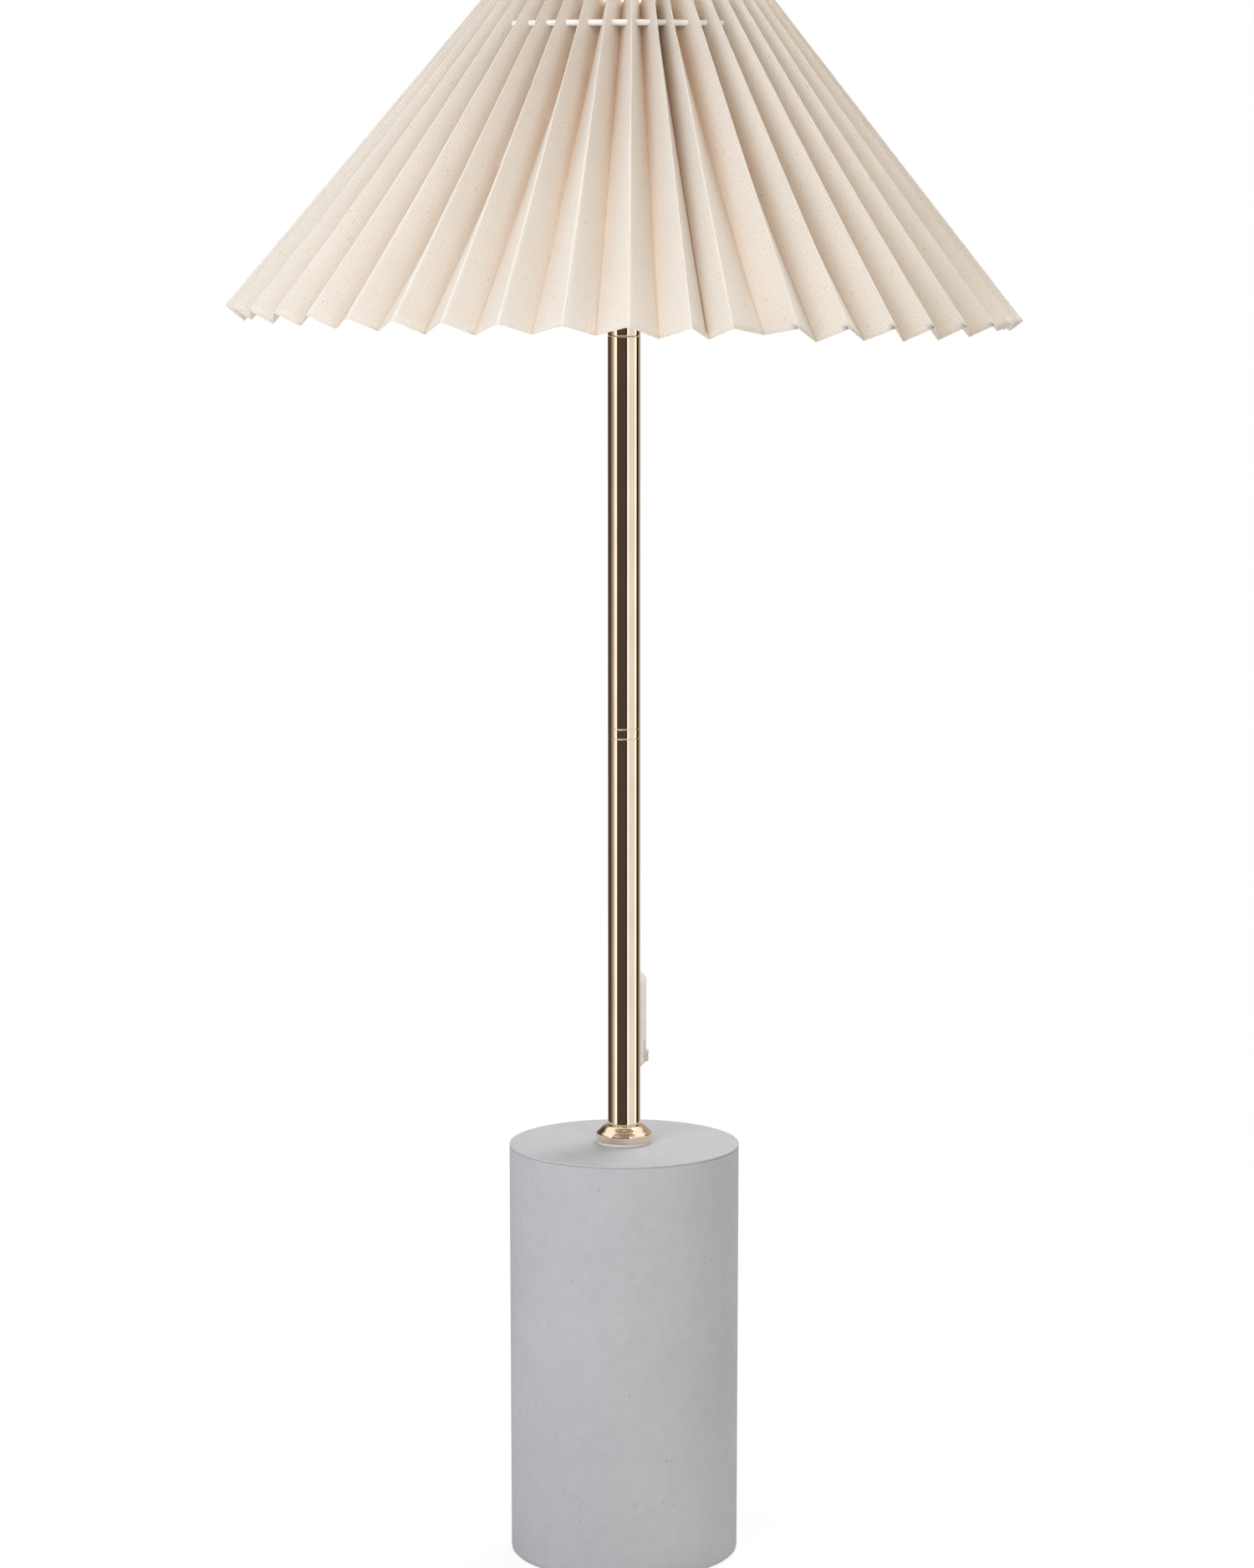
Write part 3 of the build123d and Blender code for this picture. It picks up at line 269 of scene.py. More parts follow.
tree.links.new(floor_side.outputs[0], tree.nodes["Material Output"].inputs["Surface"])

floor_half = 12.0
bm = bmesh.new()
bmesh.ops.create_grid(bm, x_segments=1, y_segments=1, size=floor_half)
floor_mesh = bpy.data.meshes.new("floor")
bm.to_mesh(floor_mesh)
bm.free()
floor = bpy.data.objects.new("floor", floor_mesh)
scene.collection.objects.link(floor)
floor_mesh.materials.append(floor_finish)
floor.visible_glossy = False
print("floor", 2 * floor_half, "m wide")

# %% [markdown]
# ## Rounded corners
# A round piece is drawn as half its section, a closed line of radius and height, and spun about the
# stem's axis. Each corner of the section first gets a small round, because a lathe or a mould never
# leaves a perfectly sharp one, and that round is what catches the light.

# %% Rounded corners
def rounded_section(corners, radius, steps=3):
    """The section with each corner cut by a small arc. A corner may carry its own radius."""
    section = []
    count = len(corners)
    for i, corner in enumerate(corners):
        here = Vector(corner[:2])
        size = corner[2] if len(corner) > 2 else radius
        back = Vector(corners[i - 1][:2]) - here
        ahead = Vector(corners[(i + 1) % count][:2]) - here
        turn = back.angle(ahead, math.pi)
        if size <= 0 or turn > math.radians(172):
            section.append(here)
            continue
        reach = min(size / math.tan(turn / 2), 0.45 * back.length, 0.45 * ahead.length)
        start, end = here + back.normalized() * reach, here + ahead.normalized() * reach
        for step in range(steps + 1):
            share = step / steps
            pull = 2 * share * (1 - share)
            section.append(start * (1 - share) ** 2 + here * pull + end * share**2)
    return section


print("a rounded square has", len(rounded_section([(1, 0), (2, 0), (2, 1), (1, 1)], 0.1)), "places")

# %% [markdown]
# ## A new piece
# Every piece that this script makes ends the same way. Its faces are shaded smooth, edges that turn by
# more than a set angle stay crisp, and it rides on the body that moves it.

# %% New piece
crisp_angle = 40


def keep_crisp(bm, angle):
    """Edges that turn by more than the angle, in degrees, stay crisp."""
    for edge in bm.edges:
        if len(edge.link_faces) == 2 and edge.calc_face_angle(0) > math.radians(angle):
            edge.smooth = False


def new_piece(name, bm, material, body, smooth_angle=crisp_angle):
    """The finished mesh as an object that rides on a body."""
    bmesh.ops.remove_doubles(bm, verts=bm.verts, dist=1e-6)
    bmesh.ops.recalc_face_normals(bm, faces=bm.faces)
    for face in bm.faces:
        face.smooth = True
    keep_crisp(bm, smooth_angle)
    mesh = bpy.data.meshes.new(name)
    bm.to_mesh(mesh)
    bm.free()
    piece = bpy.data.objects.new(name, mesh)
    scene.collection.objects.link(piece)
    mesh.materials.append(material)
    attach(piece, body)
    return piece


print("crisp over", crisp_angle, "degrees")

# %% [markdown]
# ## Spinning a section
# The spin copies the section round the axis in many small steps and merges the last copy with the
# first. A mirror finish shows every facet, so round pieces get 160 steps or more.

# %% Spinning
def spin_section(bm, section, segments=160):
    """The closed section, in millimetres, spun once about the stem's axis."""
    verts = [bm.verts.new((point[0] * mm, 0, point[1] * mm)) for point in section]
    edges = [bm.edges.new((a, b)) for a, b in zip(verts, verts[1:] + verts[:1])]
    bmesh.ops.spin(
        bm,
        geom=verts + edges,
        cent=(0, 0, 0),
        axis=(0, 0, 1),
        angle=2 * math.pi,
        steps=segments,
        use_merge=True,
    )


def turned(name, corners, material, body, radius=0.25, segments=160):
    bm = bmesh.new()
    spin_section(bm, rounded_section(corners, radius), segments)
    return new_piece(name, bm, material, body)


print("helpers", spin_section.__name__, turned.__name__)

# %% [markdown]
# ## Metal
# The stem is polished, lacquered gold-coloured metal: nearly mirror smooth, with a very faint grain
# along the tube and a trace of unevenness in the lacquer. The screws, bushes and contacts inside are
# zinc-plated steel, brass and nickel, each with its own grain.

# %% Metal finishes
def metal(name, colour, roughness, grain, grain_scale, stretch=(1, 1, 0.05), wear=0.06):
    material, tree, shader = finish(name, roughness, 1.0)
    place = object_place(tree)
    along = node(tree, "Mapping", {"Vector": place, "Scale": stretch}).outputs[0]
    streaks = noise(tree, along, grain_scale, 4)
    clouds = noise(tree, place, 60.0, 2)
    darker = tuple(c * (1 - wear) for c in colour)
    tint = ramp(tree, clouds, [(0.35, darker), (0.65, colour)])
    tree.links.new(tint, shader.inputs["Base Color"])
    spread = rescale(tree, clouds, 0.0, 1.0, roughness * 0.85, roughness * 1.2)
    tree.links.new(spread, shader.inputs["Roughness"])
    bump(tree, shader, streaks, grain, 0.00002)
    return material


gold = metal("polished_gold", (0.90, 0.755, 0.585), 0.045, 0.03, 900.0)
brass = metal("plain_brass", (0.74, 0.56, 0.27), 0.32, 0.35, 1400.0)
zinc = metal("zinc_steel", (0.62, 0.63, 0.65), 0.30, 0.35, 1200.0, wear=0.15)
nickel = metal("bright_nickel", (0.74, 0.73, 0.71), 0.22, 0.25, 1200.0)
print("metals", [m.name for m in (gold, brass, zinc, nickel)])

# %% [markdown]
# ## Paint, plastic and rubber
# The wire ring is gloss white powder coat with the fine orange peel that powder leaves. Moulded
# plastic, rubber, foam and thread differ from it only in colour, in gloss and in how coarse and deep
# their skin is, so one recipe makes them all.

# %% Paint, plastic and rubber finishes
def moulded(name, colour, roughness, peel_scale, peel, sheen_scale=35.0, shade=0.94):
    material, tree, shader = finish(name, roughness)
    place = object_place(tree)
    clouds = noise(tree, place, sheen_scale, 2)
    tint = ramp(tree, clouds, [(0.3, tuple(c * shade for c in colour)), (0.7, colour)])
    tree.links.new(tint, shader.inputs["Base Color"])
    skin = noise(tree, place, peel_scale, 4)
    spread = rescale(tree, skin, 0.0, 1.0, roughness * 0.8, roughness * 1.2)
    tree.links.new(spread, shader.inputs["Roughness"])
    bump(tree, shader, skin, peel, 0.0001)
    return material


white_paint = moulded("white_powder_coat", (0.83, 0.82, 0.79), 0.24, 700.0, 0.12)
white_plastic = moulded("white_plastic", (0.80, 0.80, 0.78), 0.38, 2200.0, 0.15)
grey_plastic = moulded("grey_plastic", (0.60, 0.59, 0.57), 0.42, 2200.0, 0.18)
black_plastic = moulded("black_plastic", (0.025, 0.025, 0.026), 0.40, 2200.0, 0.2)
black_rubber = moulded("black_rubber", (0.022, 0.021, 0.020), 0.62, 1500.0, 0.3)
foam = moulded("grey_foam", (0.10, 0.10, 0.10), 0.95, 1300.0, 0.9)
ceramic = moulded("steatite", (0.72, 0.69, 0.62), 0.55, 1100.0, 0.35)
brown_lead = moulded("brown_lead", (0.16, 0.075, 0.035), 0.42, 900.0, 0.15)
blue_lead = moulded("blue_lead", (0.05, 0.13, 0.36), 0.42, 900.0, 0.15)
filament = moulded("filament_yellow", (0.72, 0.52, 0.13), 0.6, 2600.0, 0.4)
thread = moulded("brown_thread", (0.30, 0.19, 0.11), 0.8, 3000.0, 0.6)
print("finishes so far", len(bpy.data.materials))

# %% [markdown]
# ## Glass and clear plastic
# Glass lets light through and bends it. A faint ripple keeps the bulb from looking like perfect
# optics. The gasket under the flange is cloudier, so only part of its light comes through.

# %% Clear finishes
def clear(name, colour, roughness, ior=1.5):
    material, tree, shader = finish(name, roughness)
    shader.inputs["Base Color"].default_value = (*colour, 1)
    shader.inputs["Transmission Weight"].default_value = 1.0
    shader.inputs["IOR"].default_value = ior
    ripple = noise(tree, object_place(tree), 55.0, 2)
    bump(tree, shader, ripple, 0.06, 0.0002)
    return material


bulb_clear = clear("bulb_glass", (0.97, 0.98, 0.97), 0.01, 1.47)
gasket_clear = clear("clear_gasket", (0.93, 0.93, 0.91), 0.35, 1.4)
gasket_clear.node_tree.nodes["Principled BSDF"].inputs["Transmission Weight"].default_value = 0.35
print("clear finishes", bulb_clear.name, gasket_clear.name)

# %% [markdown]
# ## Cast concrete
# The base is fine, grey cast concrete. It has soft clouds where the mix settled, small dark pores
# left by air at the mould and a few pale grains. Its top is painted slightly paler: painted light,
# because the top catches more light than the sides.
# The clouds and pores are noises of different sizes on the object's coordinates.

# %% Concrete finish
concrete, tree, shader = finish("cast_concrete", 0.82)
place = object_place(tree)
broad = noise(tree, place, 16.0, 4, 0.6)
fine = noise(tree, place, 190.0, 5, 0.65)
grit = noise(tree, place, 900.0, 3, 0.6)
base_tint = ramp(tree, broad, [(0.30, (0.363, 0.374, 0.397)), (0.70, (0.395, 0.407, 0.431))])
fine_tint = ramp(tree, fine, [(0.30, (0.95, 0.95, 0.95)), (0.72, (1.03, 1.03, 1.03))])
mixed = blend_colours(tree, 1.0, base_tint, fine_tint, "MULTIPLY")
pores = node(tree, "TexVoronoi", {"Vector": place, "Scale": 260.0, "Randomness": 1.0})
pore_size = ramp(tree, pores.outputs["Distance"], [(0.06, (1, 1, 1)), (0.14, (0, 0, 0))])
pore_some = ramp(tree, noise(tree, place, 90.0, 2), [(0.56, (0, 0, 0)), (0.62, (1, 1, 1))])
pore_mask = blend_colours(tree, 1.0, pore_size, pore_some, "MULTIPLY")
pored = blend_colours(tree, pore_mask, mixed, (0.20, 0.195, 0.20))
grain_mask = ramp(tree, grit, [(0.66, (0, 0, 0)), (0.74, (0.35, 0.35, 0.35))])
speckled = blend_colours(tree, grain_mask, pored, (0.52, 0.52, 0.53))
block_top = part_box("base_block")[1].z
height = node(tree, "SeparateXYZ", {"Vector": place}).outputs["Z"]
# Painted light: the top face is painted paler, as if more light fell on it.
on_top = rescale(tree, height, block_top - 0.9 * mm, block_top - 0.3 * mm)
painted_top_light = blend_colours(tree, on_top, (1.0, 1.0, 1.0), (1.1, 1.1, 1.1))
topped = blend_colours(tree, 1.0, speckled, painted_top_light, "MULTIPLY")
tree.links.new(topped, shader.inputs["Base Color"])
relief = combine(tree, "ADD", fine, grit)
dented = combine(tree, "SUBTRACT", relief, pore_mask)
bump(tree, shader, dented, 0.35, 0.00025)
print("finishes", len([m for m in bpy.data.materials if m.use_nodes]))

# %% [markdown]
# ## The base
# The block is one spin: outside with a crisp top lip and a fine groove under it, the hole for the
# threaded tube, and the hollow underneath with its steps for the cover and the foam pad. Its other
# holes are cut after the spin.

# %% Base block
block_low, block_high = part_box("base_block")
cover_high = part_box("base_cover")[1]
pad_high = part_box("base_pad")[1]
washer_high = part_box("plate_washer")[1]
top_radius = block_high.x / mm
foot_radius = top_radius - 0.5
cavity_radius = 38.7
stem_hole_radius = 5.4
fit_gap = 0.3
groove_top, groove_middle, groove_foot = 0.75, 1.0, 1.3
groove_depth = 0.4
block_section = [
    (stem_hole_radius, block_high.z / mm, 0.2),
    (top_radius, block_high.z / mm, 0.7),
    (top_radius, block_high.z / mm - groove_top, 0),
    (top_radius - groove_depth, block_high.z / mm - groove_middle, 0),
    (top_radius, block_high.z / mm - groove_foot, 0),
    (foot_radius + 0.02, block_low.z / mm, 4.0),
    (pad_high.x / mm + fit_gap, block_low.z / mm, 0.3),
    (pad_high.x / mm + fit_gap, pad_high.z / mm, 0.2),
    (cover_high.x / mm + fit_gap, pad_high.z / mm, 0.2),
    (cover_high.x / mm + fit_gap, cover_high.z / mm, 0.2),
    (cavity_radius, cover_high.z / mm, 0.3),
    (cavity_radius, washer_high.z / mm, 1.0),
    (stem_hole_radius, washer_high.z / mm, 0.2),
]
base_block = turned("base_block_piece", block_section, concrete, "stand", segments=192)
print("base", round(top_radius, 1), "mm radius")

# %% [markdown]
# ## A drill
# A spin can't make holes that lie off its axis. So a Boolean modifier takes plain round cutters out of
# the finished block, and its result becomes the block's own mesh.

# %% Drill
def drill(piece, holes):
    """Round holes cut through the piece. Each is its middle, its direction, radius and length."""
    bm = bmesh.new()
    for middle, way, radius, length in holes:
        turn = Vector((0, 0, 1)).rotation_difference(Vector(way)).to_matrix().to_4x4()
        spot = Matrix.Translation(Vector(middle) * mm) @ turn
        size = radius * mm
        bmesh.ops.create_cone(
            bm, cap_ends=True, segments=48, radius1=size, radius2=size, depth=length * mm, matrix=spot
        )
    cutter_mesh = bpy.data.meshes.new("cutter")
    bm.to_mesh(cutter_mesh)
    bm.free()
    cutter = bpy.data.objects.new("cutter", cutter_mesh)
    scene.collection.objects.link(cutter)
    cut = piece.modifiers.new("holes", "BOOLEAN")
    cut.operation = "DIFFERENCE"
    cut.solver = "EXACT"
    cut.object = cutter
    whole = piece.data
    solved = piece.evaluated_get(bpy.context.evaluated_depsgraph_get())
    piece.data = bpy.data.meshes.new_from_object(solved)
    piece.modifiers.remove(cut)
    bm = bmesh.new()
    bm.from_mesh(piece.data)
    keep_crisp(bm, crisp_angle)
    bm.to_mesh(piece.data)
    bm.free()
    bpy.data.objects.remove(cutter)
    bpy.data.meshes.remove(cutter_mesh)
    bpy.data.meshes.remove(whole)


print("helper", drill.__name__)

# %% [markdown]
# ## Holes of the base
# The cord's grommet sits in a stepped hole low in the back. Three pockets in the underside hold the
# threaded inserts for the cover's screws. Each hole is a cut of its own, because cutters that overlap
# in one Boolean don't give the same result each run.

# %% Holes of the base
grommet_low, grommet_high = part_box("cord_grommet")
insert_low, insert_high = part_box("cover_inserts")
inlet_height = (grommet_high.z + grommet_low.z) / 2 / mm
lip_radius = (grommet_high.z - grommet_low.z) / 2 / mm + fit_gap
insert_radius = 2.5
insert_circle = -insert_low.y / mm - insert_radius
insert_length = (insert_high.z - insert_low.z) / mm
insert_middle = (insert_high.z + insert_low.z) / 2 / mm
inlet_middle, inlet_radius, inlet_length = 46, 5.0, 32
lip_depth, lip_length = 1.3, 6
pocket_gap = 0.2
holes = [
    ((0, inlet_middle, inlet_height), (0, 1, 0), inlet_radius, inlet_length),
    ((0, foot_radius - lip_depth + lip_length / 2, inlet_height), (0, 1, 0), lip_radius, lip_length),
]
for turn in (30, 150, 270):
    across = insert_circle * math.cos(math.radians(turn))
    back = insert_circle * math.sin(math.radians(turn))
    middle = (across, back, insert_middle - pocket_gap / 2)
    holes.append((middle, (0, 0, 1), insert_radius, insert_length + pocket_gap))
for hole in holes:
    drill(base_block, [hole])
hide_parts("base_block")
print("drilled base has", len(base_block.data.polygons), "faces")

# %% [markdown]
# ## The stem
# Two tubes of the same size, a ring between them and one above, and the domed flange on its clear
# gasket. The fine grooves between them are the gaps that their corner rounds leave.

# %% Stem
lower_low, lower_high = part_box("lower_tube")
upper_low, upper_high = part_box("upper_tube")
joint_low, joint_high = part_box("joint_ring")
neck_low, neck_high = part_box("neck_ring")
tube_radius = upper_high.x / mm
tube_bore = tube_radius - 1.2
ring_bore = 5.05
end_line = 0.9


def tube_section(outer, bore, low, high):
    """A tube's section, with an extra line beside each end so that the wall shades dead straight."""
    low, high = low / mm, high / mm
    wall = [(outer, low), (outer, low + end_line, 0), (outer, high - end_line, 0), (outer, high)]
    return [(bore, low), *wall, (bore, high)]


for name, outer, bore, low, high in (
    ("lower_tube", tube_radius, tube_bore, lower_low.z, lower_high.z),
    ("upper_tube", tube_radius, tube_bore, upper_low.z, upper_high.z),
    ("joint_ring", tube_radius, ring_bore, joint_low.z, joint_high.z),
    ("neck_ring", tube_radius, ring_bore, neck_low.z, neck_high.z),
):
    tube = turned(name + "_piece", tube_section(outer, bore, low, high), gold, "stand", radius=0.45)
    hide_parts(name)

print("tubes", round(2 * tube_radius, 2), "mm across")

# %% [markdown]
# ## Flange and gasket
# The flange stands as a low disc and then domes up to the tube. The dome is drawn as eight steps of a
# shallow arch in the section, which the spin turns into a smooth surface.

# %% Flange
flange_low, flange_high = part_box("base_flange")
gasket_low, gasket_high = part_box("flange_gasket")
flange_radius = flange_high.x / mm
disc_height = 3.9
dome_arch = 0.9
dome_edge = 0.5
dome_steps = 8
flange_section = [
    (stem_hole_radius, flange_low.z / mm),
    (flange_radius, flange_low.z / mm),
    (flange_radius, flange_low.z / mm + disc_height, 0.6),
]
for step in range(1, dome_steps + 1):
    share = step / dome_steps
    rise = disc_height + (flange_high.z - flange_low.z) / mm * share - disc_height * share
    arch = dome_arch * 4 * share * (1 - share)
    across = flange_radius - dome_edge + (tube_radius + dome_edge - flange_radius) * share
    flange_section.append((across, flange_low.z / mm + rise + arch, 0))
flange_section.append((stem_hole_radius, flange_high.z / mm))
flange = turned("base_flange_piece", flange_section, gold, "stand", radius=0.3)
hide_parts("base_flange")
gasket_section = [
    (stem_hole_radius, gasket_low.z / mm),
    (gasket_high.x / mm, gasket_low.z / mm),
    (gasket_high.x / mm, gasket_high.z / mm),
    (stem_hole_radius, gasket_high.z / mm),
]
gasket = turned("flange_gasket_piece", gasket_section, gasket_clear, "stand", radius=0.3)
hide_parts("flange_gasket")
print("flange", round(2 * flange_radius, 1), "mm across")

# %% [markdown]
# ## The wire ring
# One round wire, closed to a ring, holds all the pleats together near the top. A small circle of
# vertices, stood on edge and spun about the stem's axis, makes it.

# %% Wire ring
wire_low, wire_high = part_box("top_wire_ring")
wire_radius = (wire_high.z - wire_low.z) / 2 / mm
wire_height = (wire_high.z + wire_low.z) / 2 / mm
ring_radius = wire_high.x / mm - wire_radius
bm = bmesh.new()
bmesh.ops.create_circle(bm, segments=24, radius=wire_radius * mm)
bmesh.ops.rotate(bm, verts=bm.verts, matrix=Matrix.Rotation(math.pi / 2, 3, "X"))
bmesh.ops.translate(bm, verts=bm.verts, vec=(ring_radius * mm, 0, wire_height * mm))
bmesh.ops.spin(
    bm,
    geom=bm.verts[:] + bm.edges[:],
    cent=(0, 0, 0),
    axis=(0, 0, 1),
    angle=2 * math.pi,
    steps=200,
    use_merge=True,
)
wire_ring = new_piece("top_wire_ring_piece", bm, white_paint, "shade")
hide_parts("top_wire_ring")
print("ring", round(ring_radius, 2), "mm at", round(wire_height, 1))

# %% [markdown]
# ## Linen yarns
# The shade's cloth is natural linen on a stiff backing. The yarns run along the strip and across it,
# seven or eight to the centimetre here, and now and then a thicker yarn, a slub, shows as a short pale
# streak. Two waves at right angles make the weave, and noises stretched along them make the slubs.

# %% Linen yarns
linen, tree, shader = finish("natural_linen", 0.86)
shader.inputs["Sheen Weight"].default_value = 0.25
shader.inputs["Sheen Roughness"].default_value = 0.5
strip = node(tree, "UVMap", uv_map="strip").outputs[0]
yarn_scale = 240.0


def yarns(direction, stretch):
    """Waves of yarn along one direction, a little uneven, and its slubs."""
    wave = node(
        tree,
        "TexWave",
        {"Vector": strip, "Scale": yarn_scale, "Distortion": 0.6, "Detail": 2.0, "Detail Scale": 1.4},
        bands_direction=direction,
    ).outputs["Fac"]
    long = node(tree, "Mapping", {"Vector": strip, "Scale": stretch}).outputs[0]
    slub = noise(tree, long, 1.0, 3, 0.6)
    return wave, slub


warp, warp_slub = yarns("X", (900.0, 26.0, 1.0))
weft, weft_slub = yarns("Y", (26.0, 900.0, 1.0))
weave = combine(tree, "MULTIPLY", warp, weft)
slubs = combine(tree, "MAXIMUM", warp_slub, weft_slub)
print("a yarn every", round(math.tau / (20 * yarn_scale) / mm, 2), "mm")

# %% [markdown]
# ## The linen's colours
# The cloth is a warm, pale grey that clouds a little. The slubs lie paler on it, brown flecks of plant
# fibre are scattered over it, and the gaps between the yarns are darker.

# %% Linen colours
cloud = noise(tree, strip, 14.0, 3)
linen_tint = ramp(tree, cloud, [(0.3, (0.660, 0.634, 0.586)), (0.7, (0.694, 0.667, 0.618))])
slub_pale = ramp(tree, slubs, [(0.60, (0, 0, 0)), (0.74, (0.55, 0.55, 0.55))])
slubbed = blend_colours(tree, slub_pale, linen_tint, (0.74, 0.68, 0.60))
fleck_place = node(tree, "Mapping", {"Vector": strip, "Scale": (620.0, 330.0, 1.0)}).outputs[0]
flecks = noise(tree, fleck_place, 1.0, 3, 0.6)
fleck_brown = ramp(tree, flecks, [(0.29, (0.75, 0.75, 0.75)), (0.355, (0, 0, 0))])
flecked = blend_colours(tree, fleck_brown, slubbed, (0.50, 0.39, 0.28))
weave_shade = ramp(tree, weave, [(0.0, (0.90, 0.88, 0.85)), (0.6, (1.03, 1.03, 1.03))])
grain_place = node(tree, "Mapping", {"Vector": strip, "Scale": (1500.0, 1100.0, 1.0)}).outputs[0]
grain = noise(tree, grain_place, 1.0, 3, 0.7)
grained = ramp(tree, grain, [(0.30, (0.84, 0.80, 0.75)), (0.45, (1.0, 1.0, 1.0)), (0.70, (1.05, 1.05, 1.05))])
shaded = blend_colours(tree, 1.0, flecked, weave_shade, "MULTIPLY")
woven = blend_colours(tree, 1.0, shaded, grained, "MULTIPLY")
print("linen so far", len(tree.nodes), "nodes")

# %% [markdown]
# ## Ridges and valleys
# The folds carry an attribute that is 1 on a ridge and 0 in a valley. With it a thin highlight is
# painted along the ridges and a warm brown shade into the valleys, most of all near the top, where
# they are deepest.

# %% Fold colours
fold = node(tree, "Attribute", attribute_name="fold").outputs["Fac"]
# Painted shade in the valleys and a painted highlight along the ridges.
painted_valley_shade_stops = [(0.0, (0.88, 0.77, 0.66)), (0.06, (0.99, 0.97, 0.95))]
painted_ridge_highlight_stops = [(0.968, (1.0, 1.0, 1.0)), (0.985, (1.17, 1.18, 1.19))]
painted_fold_light = ramp(tree, fold, painted_valley_shade_stops + painted_ridge_highlight_stops)
folded = blend_colours(tree, 1.0, woven, painted_fold_light, "MULTIPLY")
# The painted warm shade is strongest near the top and deep in each valley.
down = node(tree, "SeparateXYZ", {"Vector": strip}).outputs["Y"]
deep = rescale(tree, down, 0.0, 0.2, 1.0, 0.2)
valley_shade_stops = [(0.0, 1.0), (0.20, 0.70), (0.50, 0.20), (1.0, 0.04)]
valley_shade_share = ramp(tree, fold, [(at, (share, share, share)) for at, share in valley_shade_stops])
painted_warm_shade_share = combine(tree, "MULTIPLY", deep, valley_shade_share)
painted_warm_shade = blend_colours(tree, painted_warm_shade_share, (1.0, 1.0, 1.0), (1.02, 0.80, 0.63))
finished = blend_colours(tree, 1.0, folded, painted_warm_shade, "MULTIPLY")
tree.links.new(finished, shader.inputs["Base Color"])
cloth_relief = combine(tree, "ADD", weave, slubs)
bump(tree, shader, cloth_relief, 0.3, 0.0002)
print("cloth finish", linen.name, "with", len(tree.nodes), "nodes")

# %% [markdown]
# ## Folding the shade
# The shade is one strip, 1394 by 203 mm, folded into 42 pleats and closed to a ring by one seam. Each
# facet but the seam's two keeps its 16.6 mm width from top to hem. Where the cone is narrow, the two
# facets of a pleat stand steeply and the valley lies deep, and where it is wide, they open out. So the
# ridge is a straight line on a cone and the valley follows from it. The turns of the front ridges are
# those of the real lamp, whose pleats aren't quite even. The seam's pleat is the narrow one a little
# to the right. At the back two ridges lie over carrier arms, as one does in front, because the arms
# meet the wire ring inside a ridge.

# %% Turns of the pleats
facet_width = 16.6
seam_loss = 3.9
ridge_count = 42
slant = 202.6
slope = math.radians(39.3)
ridge_top_radius = 66.0
ridge_top_height = cad_high.z / mm
front_turns = [-81.8, -74.2, -65.6, -57.4, -49.1, -41.0, -32.9, -25.2, -17.1, -8.3, 0.6, 9.0]
front_turns += [14.6, 24.0, 31.8, 39.9, 47.5, 55.3, 63.7, 73.0, 82.0]
seam_ridge = front_turns.index(9.0)
stays = [(front_turns[-1], 0), (124.8, 5), (244.5, 13), (360 + front_turns[0], 4)]
random.seed(42)
ridge_turns = list(front_turns)
for (low, skipped), (high, count) in zip(stays, stays[1:]):
    for step in range(1, count + 1):
        stray = random.uniform(-0.35, 0.35) if step < count else 0
        ridge_turns.append(low + (high - low) * step / count + stray)
ridge_turns.pop()
ridge_turns = [math.radians(turn) for turn in ridge_turns]
print("ridges", len(ridge_turns))

# %% [markdown]
# ## Where the folds lie
# Each ridge point lies on the cone. A valley point lies halfway between two ridges, pushed in square
# to the cone, and how far follows from the facet's width.

# %% Folds
rows = 50


def cone_point(turn, along, inset):
    """A point inset square to the cone: x to the right, y to the back, z up, in millimetres."""
    radius = ridge_top_radius + along * math.sin(slope) - inset * math.cos(slope)
    height = ridge_top_height - along * math.cos(slope) - inset * math.sin(slope)
    return Vector((radius * math.sin(turn), -radius * math.cos(turn), height))


def width_of(facet, row):
    """The width of a facet: towards the hem, the two beside the seam have lost what the seam took up."""
    return facet_width - (seam_loss * row / rows if facet // 2 == seam_ridge else 0)


def fold_points(row):
    """The ridge and valley folds' points at one row, round the whole shade."""
    along = slant * row / rows
    radius = ridge_top_radius + along * math.sin(slope)
    points = []
    for i, turn in enumerate(ridge_turns):
        step = (ridge_turns[(i + 1) % ridge_count] - turn) % (2 * math.pi)
        inset = math.sqrt(width_of(2 * i, row) ** 2 - (radius * step / 2) ** 2)
        points.append(cone_point(turn, along, 0))
        points.append(cone_point(turn + step / 2, along, inset))
    return points


print("fold points in each row", len(fold_points(0)))

# %% [markdown]
# ## How sharply the cloth bends
# No fold is a knife edge: the cloth bends over a short length. The valleys and most ridges are crisp,
# and the ridges at the front left have opened a little towards the hem, each by its own amount.

# %% Bends
valley_bend = 0.9
ridge_bend = 0.6
soft_bend = 3.2
softness = [random.uniform(0.55, 1.0) for turn in ridge_turns]


def smooth_share(value, low, high):
    share = min(max((value - low) / (high - low), 0), 1)
    return share * share * (3 - 2 * share)


def bend_of(fold, row):
    """How far the cloth is bent on each side of a fold: a valley and most ridges are crisp, and
    the ridges at the front left have opened towards the hem."""
    if fold % 2 == 1:
        return valley_bend
    turn = math.degrees(ridge_turns[fold // 2] + math.pi) % 360 - 180
    opened = smooth_share(turn, -75, -50) * (1 - smooth_share(turn, -4, 14))
    return ridge_bend + soft_bend * softness[fold // 2] * opened * smooth_share(row / rows, 0.25, 1.0)


print("softness from", round(min(softness), 2), "to", round(max(softness), 2))

# %% [markdown]
# ## One facet
# Across one facet the line has three parts: half a bend, the flat, and half the next bend. Each place
# is kept with its distance along the cloth, so that the weave follows the strip.

# %% Facet
fold_steps = (0.0, 0.25, 0.5, 0.75)
flat_steps = (0.0, 0.25, 0.5, 0.75, 1.0)
facet_columns = 2 * len(fold_steps) - 1 + len(flat_steps)


